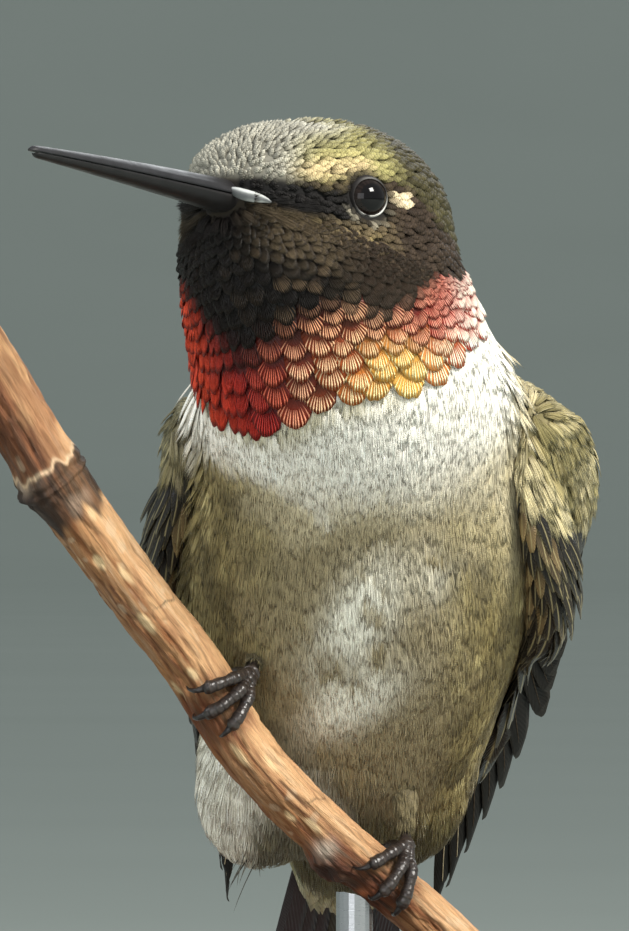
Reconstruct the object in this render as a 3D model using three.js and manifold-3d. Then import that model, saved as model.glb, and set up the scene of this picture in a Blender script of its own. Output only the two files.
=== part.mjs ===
// Ruby-throated hummingbird (adult male), life size, perched on a short cut
// length of branch that a plain display stand holds.
//
// Units are millimetres, +Z up. The bird looks along -Y, its left side is +X.
// The origin is the centre of the underside of the stand's round base.
//
// The body is one smooth shape: a blend of tilted ellipsoids. Rings are cast
// onto it from a line that runs from the crown to the root of the tail, and
// the body is parted into head, neck and trunk along two of those rings.
import * as THREE from 'three';
import { mergeVertices } from 'three/addons/utils/BufferGeometryUtils.js';
import Module from 'manifold-3d';

// ---------------------------------------------------------------- dimensions
const Y0 = -11;                      // depth of the head's centre over the base
const GAP = 0.3;                     // parting gap between neighbouring pieces

// head
const HEAD_C = [0.4, Y0, 64.0];      // centre of the head
const HEAD_YAW = 41;                 // head turned to the bird's right
const HEAD_PITCH = 9;                // bill raised above level
const EYE_F = 2.40, EYE_U = -0.05;    // eye: forward of and above the head's centre
const EYE_R = 1.30;                  // eyeball radius
const EYE_TURN = 22;                 // eye axis turned forward from square to the side
const EYE_DEPTH = 0.90;              // eyeball centre under the face
// bill
const BILL_DROP = 0.80;              // bill axis below the head's centre
const BILL_ROOT = 4.6, BILL_TIP = 24.05;   // along the head's axis
const BILL_CURVE = 0.28;             // the tip's droop
const BILL_SPLIT = 0.07;             // gap between the two mandibles

// trunk frame: the trunk is symmetric about its own middle plane
const TRUNK_C = [2.45, Y0 + 11.8, 45.0];
const TRUNK_YAW = 3.5;               // breast turned a little to the bird's right
const TRUNK_LEAN = 6.3;              // leaning to the bird's left
const TRUNK_PITCH = 52;              // back above level

// folded wing, in the trunk frame (bird's left; the right one is its mirror)
const WRIST = { left: [8.2, -6.6, 6.0], right: [7.7, -6.6, 6.0] };
const WING_AXIS = { left: [-0.130, 0.749, -0.650], right: [-0.100, 0.752, -0.652] };
const WING_FRONT = { left: -2.4, right: 0.0 };   // front end of the shoulder's tuft
const WING_SPLAY = 28;               // trailing edge swung out from the back
const WING_L = 38.6;
const WING_T = 0.62;                 // thickness of the folded blade

// tail, in the trunk frame
const TAIL_ROOT = [0, 10.6, -11.6];
const TAIL_PITCH = 42;
const TAIL_L = 26, TAIL_FORK = 5.2, TAIL_T = 0.62;

// perch
const TOE_R = 0.36;                  // toe radius
const PERCH_SIDES = 12;
// stand
const BASE_R = 34, BASE_T = 5, BASE_EDGE = 0.9;
const ROD_R = 1.0;

// ------------------------------------------------------------------- helpers
const rad = THREE.MathUtils.degToRad;
const V = (a, b, c) => Array.isArray(a) ? new THREE.Vector3(...a) : new THREE.Vector3(a, b, c);
const lerp = (a, b, t) => a + (b - a) * t;
const smooth = (a, b, x) => { const t = Math.min(1, Math.max(0, (x - a) / (b - a))); return t * t * (3 - 2 * t); };

// a table of [x, value...] read with straight or eased steps between its rows
function table(rows, x, ease = true) {
  if (x <= rows[0][0]) return rows[0].slice(1);
  for (let i = 1; i < rows.length; i++) {
    if (x <= rows[i][0]) {
      let t = (x - rows[i - 1][0]) / (rows[i][0] - rows[i - 1][0]);
      if (ease) t = t * t * (3 - 2 * t);
      return rows[i].slice(1).map((v, k) => lerp(rows[i - 1][k + 1], v, t));
    }
  }
  return rows[rows.length - 1].slice(1);
}

// forward, left and up of a frame that looks along -Y before it is turned
function axes(yaw, pitch) {
  const a = rad(yaw), p = rad(pitch);
  const f = V(-Math.sin(a) * Math.cos(p), -Math.cos(a) * Math.cos(p), Math.sin(p));
  const l = V(Math.cos(a), -Math.sin(a), 0);
  return { f, l, u: f.clone().cross(l) };
}
const HC = V(HEAD_C), HA = axes(HEAD_YAW, HEAD_PITCH);
const headPoint = (f, l, u) => HC.clone().addScaledVector(HA.f, f).addScaledVector(HA.l, l).addScaledVector(HA.u, u);

const TRUNK_M = new THREE.Matrix4().makeRotationZ(rad(-TRUNK_YAW))
  .multiply(new THREE.Matrix4().makeRotationY(rad(TRUNK_LEAN)));
TRUNK_M.setPosition(...TRUNK_C);
const trunkPoint = (x, y, z) => V(x, y, z).applyMatrix4(TRUNK_M);
const trunkDir = (x, y, z) => V(x, y, z).transformDirection(TRUNK_M);

// ------------------------------------------------------- the body as a field
// one ellipsoid: centre, its three axes and the radii along them
const blob = (c, A, rf, rl, ru, k) => ({ c, f: A.f, l: A.l, u: A.u, rf, rl, ru, k });
function blobField(b, p) {
  const dx = p.x - b.c.x, dy = p.y - b.c.y, dz = p.z - b.c.z;
  const qf = (dx * b.f.x + dy * b.f.y + dz * b.f.z) / b.rf;
  const ql = (dx * b.l.x + dy * b.l.y + dz * b.l.z) / b.rl;
  const qu = (dx * b.u.x + dy * b.u.y + dz * b.u.z) / b.ru;
  const k0 = Math.hypot(qf, ql, qu), k1 = Math.hypot(qf / b.rf, ql / b.rl, qu / b.ru);
  return k1 > 1e-9 ? k0 * (k0 - 1) / k1 : -Math.min(b.rf, b.rl, b.ru);
}
const smin = (a, b, k) => { const h = Math.max(k - Math.abs(a - b), 0) / k; return Math.min(a, b) - h * h * k / 4; };

const TA = (() => {                  // the trunk's own forward, left and up
  const p = rad(TRUNK_PITCH);
  return { f: trunkDir(0, -Math.cos(p), Math.sin(p)), l: trunkDir(1, 0, 0), u: trunkDir(0, Math.sin(p), Math.cos(p)) };
})();
// a point left of, forward along and above the trunk's own axis
const trunkAlong = (l, f, u) => V(TRUNK_C).addScaledVector(TA.l, l).addScaledVector(TA.f, f).addScaledVector(TA.u, u);
const BLOBS = [
  blob(headPoint(-0.3, 0, 0.05), HA, 7.2, 6.15, 4.65, 0),        // skull
  blob(headPoint(4.8, 0, 0.3), HA, 3.65, 4.35, 2.65, 2.0),       // forehead
  blob(headPoint(4.2, 0, -1.2), HA, 3.3, 2.3, 2.3, 1.6),         // root of the bill
  blob(headPoint(0.9, 0, -3.7), axes(38, 20), 6.9, 6.3, 4.2, 2.4), // cheeks and chin
  blob(V(0.75, Y0 + 0.9, 58.6), axes(20, 0), 7.0, 7.35, 6.2, 3.0),   // neck
  blob(V(2.1, Y0 + 3.0, 53.8), axes(6, 20), 7.8, 8.3, 6.5, 3.0),     // shoulders
  blob(trunkAlong(0, 0.3, -0.9), TA, 16.2, 9.55, 7.7, 3.0),         // breast and belly
  blob(trunkAlong(0, -2.0, 2.6), TA, 13.5, 7.4, 6.0, 2.5),          // back
  blob(trunkAlong(0, -10.8, 0.6), TA, 9.6, 7.3, 6.3, 3.0),          // lower belly and rump
  blob(trunkPoint(3.2, 8.4, -12.6), TA, 4.6, 3.3, 3.2, 2.0),       // thigh tufts
  blob(trunkPoint(-4.5, 8.2, -13.2), TA, 5.2, 3.5, 3.2, 2.0),
  blob(trunkPoint(0, 12.4, -13.4), axes(-TRUNK_YAW, TAIL_PITCH + 4), 8.2, 3.4, 2.7, 2.4), // tail coverts
];
function body(p) {
  let d = blobField(BLOBS[0], p);
  for (let i = 1; i < BLOBS.length; i++) d = smin(d, blobField(BLOBS[i], p), BLOBS[i].k);
  return d;
}

// the line the rings are cast from: [t, x, y, z, tilt of the ring's plane]
const SPINE = [
  [0.00, 0.35, Y0 + 0.6, 68.4, 0],
  [0.06, 0.40, Y0 + 0.6, 66.9, 0],
  [0.16, 0.50, Y0 + 0.6, 64.2, 2],
  [0.28, 0.75, Y0 + 0.9, 60.6, 8],
  [0.40, 1.50, Y0 + 2.4, 56.6, 18],
  [0.52, 2.25, Y0 + 5.9, 52.0, 32],
  [0.66, 2.45, Y0 + 11.0, 46.0, 38],
  [0.80, 2.00, Y0 + 16.6, 39.2, 40],
  [0.92, 1.30, Y0 + 22.2, 32.6, 46],
  [1.00, 0.75, Y0 + 27.2, 27.6, 48],
];
const SPINE_C = new THREE.CatmullRomCurve3(SPINE.map(r => V(r[1], r[2], r[3])), false, 'centripetal');
function station(t) {
  // t runs over the table's own first column
  let i = 1;
  while (i < SPINE.length - 1 && t > SPINE[i][0]) i++;
  const u = (t - SPINE[i - 1][0]) / (SPINE[i][0] - SPINE[i - 1][0]);
  const c = SPINE_C.getPoint((i - 1 + Math.min(1, Math.max(0, u))) / (SPINE.length - 1));
  const tilt = rad(table(SPINE.map(r => [r[0], r[4]]), t, false)[0]);
  return { c, e1: V(1, 0, 0), e2: V(0, Math.cos(tilt), Math.sin(tilt)), n: V(0, -Math.sin(tilt), Math.cos(tilt)) };
}
// distance from a point in a direction to the body's surface (field = level)
function cast(c, d, level) {
  const p = V(0, 0, 0), at = r => body(p.copy(c).addScaledVector(d, r)) - level;
  let a = 0, b = 0;
  while (b < 20) { b += 0.3; if (at(b) > 0) break; a = b; }
  for (let i = 0; i < 22; i++) { const m = (a + b) / 2; if (at(m) > 0) b = m; else a = m; }
  return (a + b) / 2;
}
function ring(t, cols, level = 0, shift = 0) {
  const s = station(t), c = s.c.clone().addScaledVector(s.n, shift), out = [];
  for (let j = 0; j < cols; j++) {
    const a = j / cols * Math.PI * 2;
    const d = s.e1.clone().multiplyScalar(Math.cos(a)).addScaledVector(s.e2, Math.sin(a));
    out.push(c.clone().addScaledVector(d, cast(c, d, level)));
  }
  return { c, pts: out };
}

// closed loft through rings of points, each ring seen in the same turning
// sense; ends is a pair of apex points
function loft(rings, apexA, apexB) {
  const pos = [], idx = [], n = rings[0].length;
  for (const r of rings) for (const p of r) pos.push(p.x, p.y, p.z);
  const A = pos.length / 3; pos.push(apexA.x, apexA.y, apexA.z);
  const B = A + 1; pos.push(apexB.x, apexB.y, apexB.z);
  const m = rings.length;
  for (let j = 0; j < n; j++) {
    const k = (j + 1) % n;
    idx.push(A, k, j);
    idx.push(B, (m - 1) * n + j, (m - 1) * n + k);
    for (let i = 0; i + 1 < m; i++) {
      const a = i * n + j, b = i * n + k, c = a + n, d = b + n;
      // the shorter diagonal splits each patch
      const P = q => V(pos[3 * q], pos[3 * q + 1], pos[3 * q + 2]);
      if (P(a).distanceTo(P(d)) < P(b).distanceTo(P(c))) idx.push(a, b, d, a, d, c);
      else idx.push(a, b, c, b, d, c);
    }
  }
  const g = new THREE.BufferGeometry();
  g.setAttribute('position', new THREE.Float32BufferAttribute(pos, 3));
  g.setIndex(idx);
  return outward(g);
}
function volume(g) {
  const p = g.attributes.position, ix = g.index; let v = 0;
  const a = V(0, 0, 0), b = V(0, 0, 0), c = V(0, 0, 0);
  for (let i = 0; i < ix.count; i += 3) {
    a.fromBufferAttribute(p, ix.getX(i)); b.fromBufferAttribute(p, ix.getX(i + 1)); c.fromBufferAttribute(p, ix.getX(i + 2));
    v += a.dot(b.cross(c));
  }
  return v / 6;
}
function outward(g) {
  if (volume(g) < 0) {
    const ix = g.index.array;
    for (let i = 0; i < ix.length; i += 3) { const t = ix[i]; ix[i] = ix[i + 1]; ix[i + 1] = t; }
  }
  return g;
}

// ------------------------------------------------------------- joins and cuts
const wasm = await Module(); wasm.setup();
function solid(g) {
  let h = g.clone(); h.deleteAttribute('normal'); h.deleteAttribute('uv');
  h = mergeVertices(h, 1e-4);
  return new wasm.Manifold(new wasm.Mesh({ numProp: 3,
    vertProperties: new Float32Array(h.attributes.position.array), triVerts: new Uint32Array(h.index.array) }));
}
function geometry(m) {
  // only the largest closed body is kept, without the crumbs of a cut
  const parts = m.decompose(); parts.sort((a, b) => b.volume() - a.volume());
  const mesh = parts[0].getMesh(), g = new THREE.BufferGeometry();
  g.setAttribute('position', new THREE.Float32BufferAttribute(mesh.vertProperties, 3));
  g.setIndex(Array.from(mesh.triVerts));
  return g;
}
function ellipsoidGeometry(c, A, rf, rl, ru, w = 20, h = 12) {
  const g = new THREE.SphereGeometry(1, w, h), m = new THREE.Matrix4();
  m.makeBasis(A.f.clone().multiplyScalar(rf), A.l.clone().multiplyScalar(rl), A.u.clone().multiplyScalar(ru));
  m.setPosition(c); g.applyMatrix4(m);
  g.deleteAttribute('normal'); g.deleteAttribute('uv');
  return outward(mergeVertices(g, 1e-4));
}
// a round limb along points with a radius for each; both ends are closed
function limb(points, radii, sides = 6, squash = 1) {
  const rings = [];
  let side = null;
  points.forEach((p, i) => {
    const a = points[Math.max(0, i - 1)], b = points[Math.min(points.length - 1, i + 1)];
    const t = b.clone().sub(a).normalize();
    if (!side) side = Math.abs(t.z) < 0.9 ? V(0, 0, 1) : V(1, 0, 0);
    side = side.clone().addScaledVector(t, -side.dot(t)).normalize();
    const other = t.clone().cross(side), r = [];
    for (let j = 0; j < sides; j++) {
      const w = j / sides * Math.PI * 2;
      r.push(p.clone().addScaledVector(side, Math.cos(w) * radii[i]).addScaledVector(other, Math.sin(w) * radii[i] * squash));
    }
    rings.push(r);
  });
  return loft(rings, points[0], points[points.length - 1]);
}

// -------------------------------------------------------------- body in three
const COLS = 32;
const CUT_HEAD = 0.300, CUT_NECK = 0.500;       // ring positions of the two cuts
function rings(t0, t1, n, level = 0) {
  return Array.from({ length: n }, (_, i) => ring(lerp(t0, t1, i / (n - 1)), COLS, level).pts);
}
const apexTop = (() => { const s = station(0); return s.c.clone().addScaledVector(s.n, cast(s.c, s.n, 0)); })();
const apexEnd = (() => { const s = station(1), d = s.n.clone().negate(); return s.c.clone().addScaledVector(d, Math.max(0.2, cast(s.c, d, 0))); })();

const cutHeadA = ring(CUT_HEAD, COLS, 0, GAP / 2), cutHeadB = ring(CUT_HEAD, COLS, 0, -GAP / 2);
const cutNeckA = ring(CUT_NECK, COLS, 0, GAP / 2), cutNeckB = ring(CUT_NECK, COLS, 0, -GAP / 2);
const headRings = [...rings(0.0, 0.285, 13), cutHeadA.pts];
const neckRings = [cutHeadB.pts, ...rings(0.325, 0.485, 7), cutNeckA.pts];
const trunkRings = [cutNeckB.pts, ...rings(0.525, 0.985, 17)];
let head = solid(loft(headRings, apexTop, cutHeadA.c));
const neck = loft(neckRings, cutHeadB.c, cutNeckA.c);
const trunk = loft(trunkRings, cutNeckB.c, apexEnd);
// the same body, a gap fatter, clears what lies against it
const clear = solid(loft(rings(0.0, 0.985, 36, GAP + 0.03), apexTop.clone().add(V(0, 0, 0.4)), apexEnd.clone().add(V(0, 0.3, -0.3))));

// --------------------------------------------------------------------- eyes
function eyePlace(side) {
  const a = rad(EYE_TURN);
  const n = HA.l.clone().multiplyScalar(side * Math.cos(a)).addScaledVector(HA.f, Math.sin(a)).normalize();
  const start = headPoint(EYE_F, 0, EYE_U).addScaledVector(HA.f, -2.0);
  return { n, c: start.clone().addScaledVector(n, cast(start, n, 0) - EYE_DEPTH) };
}
const eyes = { left: eyePlace(1), right: eyePlace(-1) };
function eyeGeometry(e, r, w, h) {
  const A = { f: e.n, l: V(0, 0, 1).addScaledVector(e.n, -e.n.z).normalize(), u: null };
  A.u = A.f.clone().cross(A.l);
  return ellipsoidGeometry(e.c, { f: A.u, l: A.f, u: A.l }, r, r, r, w, h);
}
for (const s of ['left', 'right']) head = head.subtract(solid(eyeGeometry(eyes[s], EYE_R + 0.14, 14, 8)));

// --------------------------------------------------------------------- bill
// half width, height above and height below the gape line at a place x along
// the head's axis, and the line's own droop
const billShape = x => {
  const t = Math.max(0, (BILL_TIP - x) / (BILL_TIP - BILL_ROOT));      // 0 tip, 1 root
  return { w: 0.24 + 1.15 * Math.pow(t, 0.85) + 0.55 * smooth(0.8, 1, t),
    top: 0.24 + 0.66 * Math.pow(t, 0.8) + 0.16 * smooth(0.8, 1, t),
    low: 0.20 + 0.56 * Math.pow(t, 0.8) + 0.16 * smooth(0.8, 1, t),
    z: -BILL_DROP - BILL_CURVE * Math.pow(1 - t, 2) - 0.1 * smooth(0.75, 1, t) };
};
function bill(upper, grow = 0, x0 = BILL_ROOT, x1 = BILL_TIP, n = 11) {
  const out = [], m = 5;
  for (let i = 0; i < n; i++) {
    const x = lerp(x0, x1, Math.pow(i / (n - 1), 0.9)), s = billShape(x), r = [];
    const sgn = upper ? 1 : -1, h = (upper ? s.top : s.low) + grow, w = s.w + grow;
    const split = grow ? -0.1 : BILL_SPLIT / 2;
    for (let j = 0; j <= m; j++) { const a = j / m * Math.PI; r.push(headPoint(x, Math.cos(a) * w, s.z + sgn * (split + Math.sin(a) * h))); }
    r.push(headPoint(x, -w * 0.45, s.z + sgn * split * 0.98));
    r.push(headPoint(x, w * 0.45, s.z + sgn * split * 0.98));
    out.push(r);
  }
  const sR = billShape(x0), sT = billShape(x1), sg = upper ? 1 : -1;
  return loft(out, headPoint(x0 - (grow ? 0.3 : 0), 0, sR.z + sg * 0.3), headPoint(x1 + 0.12, 0, sT.z + sg * 0.09));
}
const billUpper = bill(true), billLower = bill(false, 0, BILL_ROOT, BILL_TIP - 0.35);
head = head.subtract(solid(bill(true, 0.16, BILL_ROOT - 0.3, BILL_ROOT + 7, 5))).subtract(solid(bill(false, 0.16, BILL_ROOT - 0.3, BILL_ROOT + 7, 5)));

// -------------------------------------------------------------------- wings
// outline of the folded wing: along the blade, trailing edge; each step is a
// feather's tip
const WING_TIPS = [[21.6, 9.6], [22.9, 8.5], [29.0, 8.4], [30.8, 6.9], [32.7, 5.7], [34.3, 4.5], [36.0, 3.3]];
const WING_STEP = 1.25;              // how far each tip stands out past the next feather
function trailing(s, s0) {
  if (s <= WING_TIPS[0][0]) return table([[s0, 2.4], [s0 + 0.8, 4.2], [s0 + 2.8, 6.0], [s0 + 6.6, 7.6], [12, 9.1], [WING_TIPS[0][0], WING_TIPS[0][1]]], s, false)[0];
  for (let i = 1; i < WING_TIPS.length; i++) {
    if (s <= WING_TIPS[i][0]) return lerp(WING_TIPS[i][1] - (i === 2 ? 1.6 : 0.15), WING_TIPS[i][1], (s - WING_TIPS[i - 1][0]) / (WING_TIPS[i][0] - WING_TIPS[i - 1][0]));
  }
  return lerp(2.1, 0.9, (s - 36) / (WING_L - 36));
}
const leading = (s, s0) => table([[s0, 1.2], [s0 + 0.8, -0.2], [s0 + 2.8, -1.4], [s0 + 6, -2.0], [10, -1.6], [18, -1.4], [28, -1.0], [WING_L, 0.35]], s, false)[0];
// the coverts and the feathers of the shoulder make the blade's root a full,
// loose tuft
const tuft = (s, v, side) => (side > 0 ? 2.5 : 1.9) * Math.sqrt(Math.max(0, 1 - Math.pow((s - 6.2) / 8.2, 2) - Math.pow((v - 3.4) / 6.4, 2)));
function wing(side) {
  const key = side > 0 ? 'left' : 'right', W = WING_AXIS[key], wrist = WRIST[key], s0 = WING_FRONT[key];
  const a = trunkDir(W[0] * side, W[1], W[2]);
  const d = trunkDir(0, -W[2], W[1]);
  const x = trunkDir(side, 0, 0); x.addScaledVector(a, -x.dot(a)).normalize();
  const c = d.clone().multiplyScalar(Math.cos(rad(WING_SPLAY))).addScaledVector(x, Math.sin(rad(WING_SPLAY)));
  c.addScaledVector(a, -c.dot(a)).normalize();
  const n = a.clone().cross(c).multiplyScalar(side).normalize();
  const w0 = trunkPoint(wrist[0] * side, wrist[1], wrist[2]);
  const at = (s, v, h) => w0.clone().addScaledVector(a, s).addScaledVector(c, v).addScaledVector(n, h);
  const stops = [s0, s0 + 0.8, s0 + 2.4, s0 + 4.5, 5.5 + s0 / 4, 8, 11, 14, 18];
  WING_TIPS.forEach((t, i) => { stops.push(t[0] - 0.02); if (i < WING_TIPS.length - 1) stops.push(t[0] + 0.3); });
  stops.splice(stops.indexOf(WING_TIPS[1][0] + 0.3) + 1, 0, 26);
  stops.push(36.3, 37.6, WING_L);
  const out = [], m = 5;
  let most = 0;
  for (const s of stops) {
    const v0 = leading(s, s0), v1 = Math.max(v0 + 0.5, trailing(s, s0)), r = [];
    // camber lifts the middle, and the blade is moved out where the flank
    // would reach it
    const lift = v => 0.45 * Math.sin(Math.PI * (v - v0) / (v1 - v0)) - 0.9 * smooth(12, 0, s);
    const skin = v => {                // height at which the body is just clear
      let h = 6; while (body(at(s, v, h)) > GAP + 0.14 && h > -7) h -= 0.05;
      return h;
    };
    const hs = Array.from({ length: m + 1 }, (_, j) => {
      const v = lerp(v0, v1, j / m), b = skin(v), up = Math.max(lift(v), b);
      most = Math.max(most, b - lift(v));
      // near the wrist the feathers of the shoulder fill the room down to the
      // back; further on the blade is thin
      return [lerp(Math.max(b, up - 3.4), up, smooth(13, 20, s)), up];
    });
    for (let j = 0; j <= m; j++) {
      const v = lerp(v0, v1, j / m);
      r.push(at(s, v, hs[j][1] + WING_T * (j === 0 || j === m ? 0.8 : 1) + tuft(s, v, side)));
    }
    for (let j = m; j >= 0; j--) r.push(at(s, lerp(v0, v1, j / m), hs[j][0]));
    out.push(r);
  }
  const mid = r => r.reduce((q, p) => q.add(p), V(0, 0, 0)).multiplyScalar(1 / r.length);
  return { geo: loft(out, mid(out[0]).addScaledVector(a, -0.3), mid(out[out.length - 1]).addScaledVector(a, 0.3)), at, most };
}
const wingLeft = wing(1), wingRight = wing(-1);

// --------------------------------------------------------------------- tail
function tail() {
  const p = rad(TAIL_PITCH);
  const a = trunkDir(0, Math.cos(p), -Math.sin(p)), c = trunkDir(1, 0, 0), n = trunkDir(0, Math.sin(p), Math.cos(p));
  const w0 = trunkPoint(...TAIL_ROOT);
  const at = (s, v, h) => w0.clone().addScaledVector(a, s).addScaledVector(c, v).addScaledVector(n, h);
  // one half's outline from the middle to the outer edge: feather tips and the
  // notches between them
  const tips = 5, half = [];
  for (let i = 0; i < tips; i++) {
    const e = i / (tips - 1), v = lerp(0.55, 5.1, e), s = TAIL_L - TAIL_FORK * (1 - Math.pow(e, 0.9));
    if (i) half.push([lerp(0.55, 5.1, (i - 0.5) / (tips - 1)), s - 1.75]);
    half.push([v - 0.22, s], [v + 0.26, s - 0.35]);
  }
  half.push([5.15, TAIL_L - 5], [4.4, 15], [3.0, 8], [2.0, 0.5]);
  const shape = new THREE.Shape();
  shape.moveTo(0, TAIL_L - TAIL_FORK - 1.6);
  half.forEach(q => shape.lineTo(q[0], q[1]));
  [...half].reverse().forEach(q => shape.lineTo(-q[0], q[1]));
  const g = new THREE.ExtrudeGeometry(shape, { depth: TAIL_T, steps: 1, bevelEnabled: false });
  g.deleteAttribute('normal'); g.deleteAttribute('uv');
  const h = mergeVertices(g, 1e-4), q = h.attributes.position;
  for (let i = 0; i < q.count; i++) {
    const v = q.getX(i), s = q.getY(i), k = q.getZ(i);
    const w = at(s, v, k - 0.035 * v * v - 0.1 * Math.abs(v));
    q.setXYZ(i, w.x, w.y, w.z);
  }
  return geometry(solid(outward(h)).subtract(clear));
}

// -------------------------------------------------------------------- perch
// centre line of the branch and its radius
const PERCH = [
  [-19.2, 57.9, 1.80], [-17.16, 54.51, 1.79], [-13.97, 49.22, 1.74], [-9.54, 42.95, 1.65], [-6.78, 39.43, 1.62],
  [-3.38, 34.19, 1.60], [-0.62, 31.22, 1.53], [2.30, 28.62, 1.47], [5.86, 25.54, 1.43], [7.70, 23.81, 1.41], [9.3, 22.3, 1.40]];
const perchY = x => Y0 + 5.4 + 0.66 * (x + 6.8);
const PERCH_C = new THREE.CatmullRomCurve3(PERCH.map(p => V(p[0], perchY(p[0]), p[1])), false, 'centripetal');
const PERCH_LEN = PERCH_C.getLength();
const perchAt = w => {               // w along the branch from its upper end
  const u = Math.min(1, Math.max(0, w / PERCH_LEN)), c = PERCH_C.getPointAt(u), t = PERCH_C.getTangentAt(u);
  const front = V(0, -1, 0).addScaledVector(t, t.y).normalize(), side = t.clone().cross(front).normalize();
  if (side.z < 0) side.negate();
  // radius by nearest table row
  let r = 1.6, best = 1e9;
  for (let i = 0; i + 1 < PERCH.length; i++) {
    const mid = (PERCH[i][0] + PERCH[i + 1][0]) / 2, d = Math.abs(c.x - mid);
    if (d < best) { best = d; r = lerp(PERCH[i][2], PERCH[i + 1][2], Math.min(1, Math.max(0, (c.x - PERCH[i][0]) / (PERCH[i + 1][0] - PERCH[i][0])))); }
  }
  return { c, t, front, side, r };
};
// swellings: [place along, height, length, angle, spread]; a bud node near the
// upper end and a knot near the left foot
const nearW = x => { let b = 0, e = 1e9; for (let i = 0; i <= 400; i++) { const w = i / 400 * PERCH_LEN, d = Math.abs(PERCH_C.getPointAt(i / 400).x - x); if (d < e) { e = d; b = w; } } return b; };
const NODE_W = nearW(-14.2), KNOT_W = nearW(1.45);
function perch() {
  const out = [], n = 36;
  for (let i = 0; i <= n; i++) {
    const w = i / n * PERCH_LEN, q = perchAt(w), r = [];
    for (let j = 0; j < PERCH_SIDES; j++) {
      const a = j / PERCH_SIDES * Math.PI * 2;      // 0 front, 90 upper side
      const da = (ang, spread) => Math.exp(-Math.pow(Math.atan2(Math.sin(a - ang), Math.cos(a - ang)) / spread, 2));
      let k = q.r * (1 + 0.02 * Math.sin(3 * a + 1 + w * 0.15));
      k += 0.20 * Math.exp(-Math.pow((w - NODE_W) / 0.9, 2)) + 0.32 * Math.exp(-Math.pow((w - NODE_W - 0.4) / 1.1, 2)) * da(rad(-80), 0.9);
      k += 0.62 * Math.exp(-Math.pow((w - KNOT_W) / 1.15, 2)) * da(rad(-72), 0.85);
      const edge = i === 0 || i === n ? 0.93 : 1;
      r.push(q.c.clone().addScaledVector(q.front, Math.cos(a) * k * edge).addScaledVector(q.side, Math.sin(a) * k * edge));
    }
    out.push(r);
  }
  return loft(out, PERCH_C.getPoint(0), PERCH_C.getPoint(1));
}

// ------------------------------------------------------------ feet and legs
// each toe runs round the branch: [angle round the branch, place along] from
// the knuckle to the claw's tip; 0 is the front, 90 the upper side
function foot(w, toes) {
  let out = null;
  for (const [from, to, dw0, dw1, len] of toes) {
    const n = len, pts = [], rs = [];
    for (let i = 0; i <= n; i++) {
      const e = i / n, a = rad(lerp(from, to, e)), q = perchAt(w + lerp(dw0, dw1, Math.pow(e, 0.8)));
      const joint = 1 + 0.16 * Math.pow(Math.cos(e * Math.PI * 3.2), 2);
      const r = e < 0.72 ? TOE_R * joint : lerp(TOE_R * 0.86, 0.13, (e - 0.72) / 0.28);
      const lift = 0.10 + (e > 0.72 ? 0.26 * Math.sin((e - 0.72) / 0.28 * Math.PI) : 0) + 0.22 * smooth(0.2, 0, e);
      const k = q.r * 1.03 + r + lift;
      pts.push(q.c.clone().addScaledVector(q.front, Math.cos(a) * k).addScaledVector(q.side, Math.sin(a) * k));
      rs.push(r);
    }
    const g = solid(limb(pts, rs, 5));
    out = out ? out.add(g) : g;
  }
  return out;
}
const FOOT = { right: nearW(-5.55), left: nearW(3.45) };
const KNUCKLE_A = 84;
function footPair(side) {
  const w = FOOT[side], q = perchAt(w), a = rad(KNUCKLE_A), k = q.r + TOE_R + 0.42;
  const kn = q.c.clone().addScaledVector(q.front, Math.cos(a) * k).addScaledVector(q.side, Math.sin(a) * k);
  const s = side === 'left' ? 1 : -1;
  const toes = side === 'right'
    ? [[KNUCKLE_A, -34, 0, -1.75, 9], [KNUCKLE_A, -58, 0, 0.05, 10], [KNUCKLE_A, -30, 0, 1.7, 9], [KNUCKLE_A, 214, 0, 0.3, 8]]
    : [[KNUCKLE_A, -20, 0, -2.3, 9], [KNUCKLE_A, -50, 0, -0.2, 10], [KNUCKLE_A, -46, 0, 1.6, 10], [KNUCKLE_A, 214, 0, 0.2, 8]];
  let g = foot(w, toes);
  g = g.add(solid(ellipsoidGeometry(kn, { f: q.t, l: q.front, u: q.side }, 0.66, 0.52, 0.46, 10, 8)));
  // shank: from the knuckle up into the feathers of the thigh
  const hip = side === 'right' ? trunkPoint(-4.6, -1.2, -4.6) : trunkPoint(3.4, 4.2, -10.6);
  const dir = hip.clone().sub(kn).normalize();
  let reach = 0; while (reach < 12 && body(kn.clone().addScaledVector(dir, reach)) > GAP) reach += 0.05;
  const at = r => kn.clone().addScaledVector(dir, r);
  const start = 0.95;
  const stub = solid(limb([at(0), at(start - 0.2)], [0.34, 0.34], 8));
  g = g.add(stub);
  const end = Math.max(reach, start + 0.7);
  const n = 5, pts = [], rs = [];
  for (let i = 0; i <= n; i++) { const e = i / n; pts.push(at(lerp(start + 0.1, end + 0.9, e))); rs.push(lerp(0.42, 1.15, Math.pow(e, 1.4))); }
  const leg = solid(limb(pts, rs, 10)).subtract(clear);
  return { foot: geometry(g), leg: geometry(leg) };
}
const feet = { left: footPair('left'), right: footPair('right') };

// -------------------------------------------------------------------- stand
function lathe(profile, seg) {
  const g = new THREE.LatheGeometry(profile.map(p => new THREE.Vector2(p[0], p[1])), seg);
  g.rotateX(Math.PI / 2);
  g.deleteAttribute('normal'); g.deleteAttribute('uv');
  return outward(mergeVertices(g, 1e-4));
}
const base = lathe([[0, 0], [BASE_R - 0.4, 0], [BASE_R, 0.5], [BASE_R, BASE_T - BASE_EDGE * 1.4], [BASE_R - BASE_EDGE * 0.45, BASE_T - BASE_EDGE * 0.4],
  [BASE_R - BASE_EDGE * 1.5, BASE_T], [0, BASE_T]], 56);
function rod(w) {
  const q = perchAt(w), g = new THREE.CylinderGeometry(ROD_R, ROD_R, 60, 20, 1);
  g.rotateX(Math.PI / 2); g.translate(q.c.x, q.c.y, BASE_T + GAP + 30);
  return { g, q };
}
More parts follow.
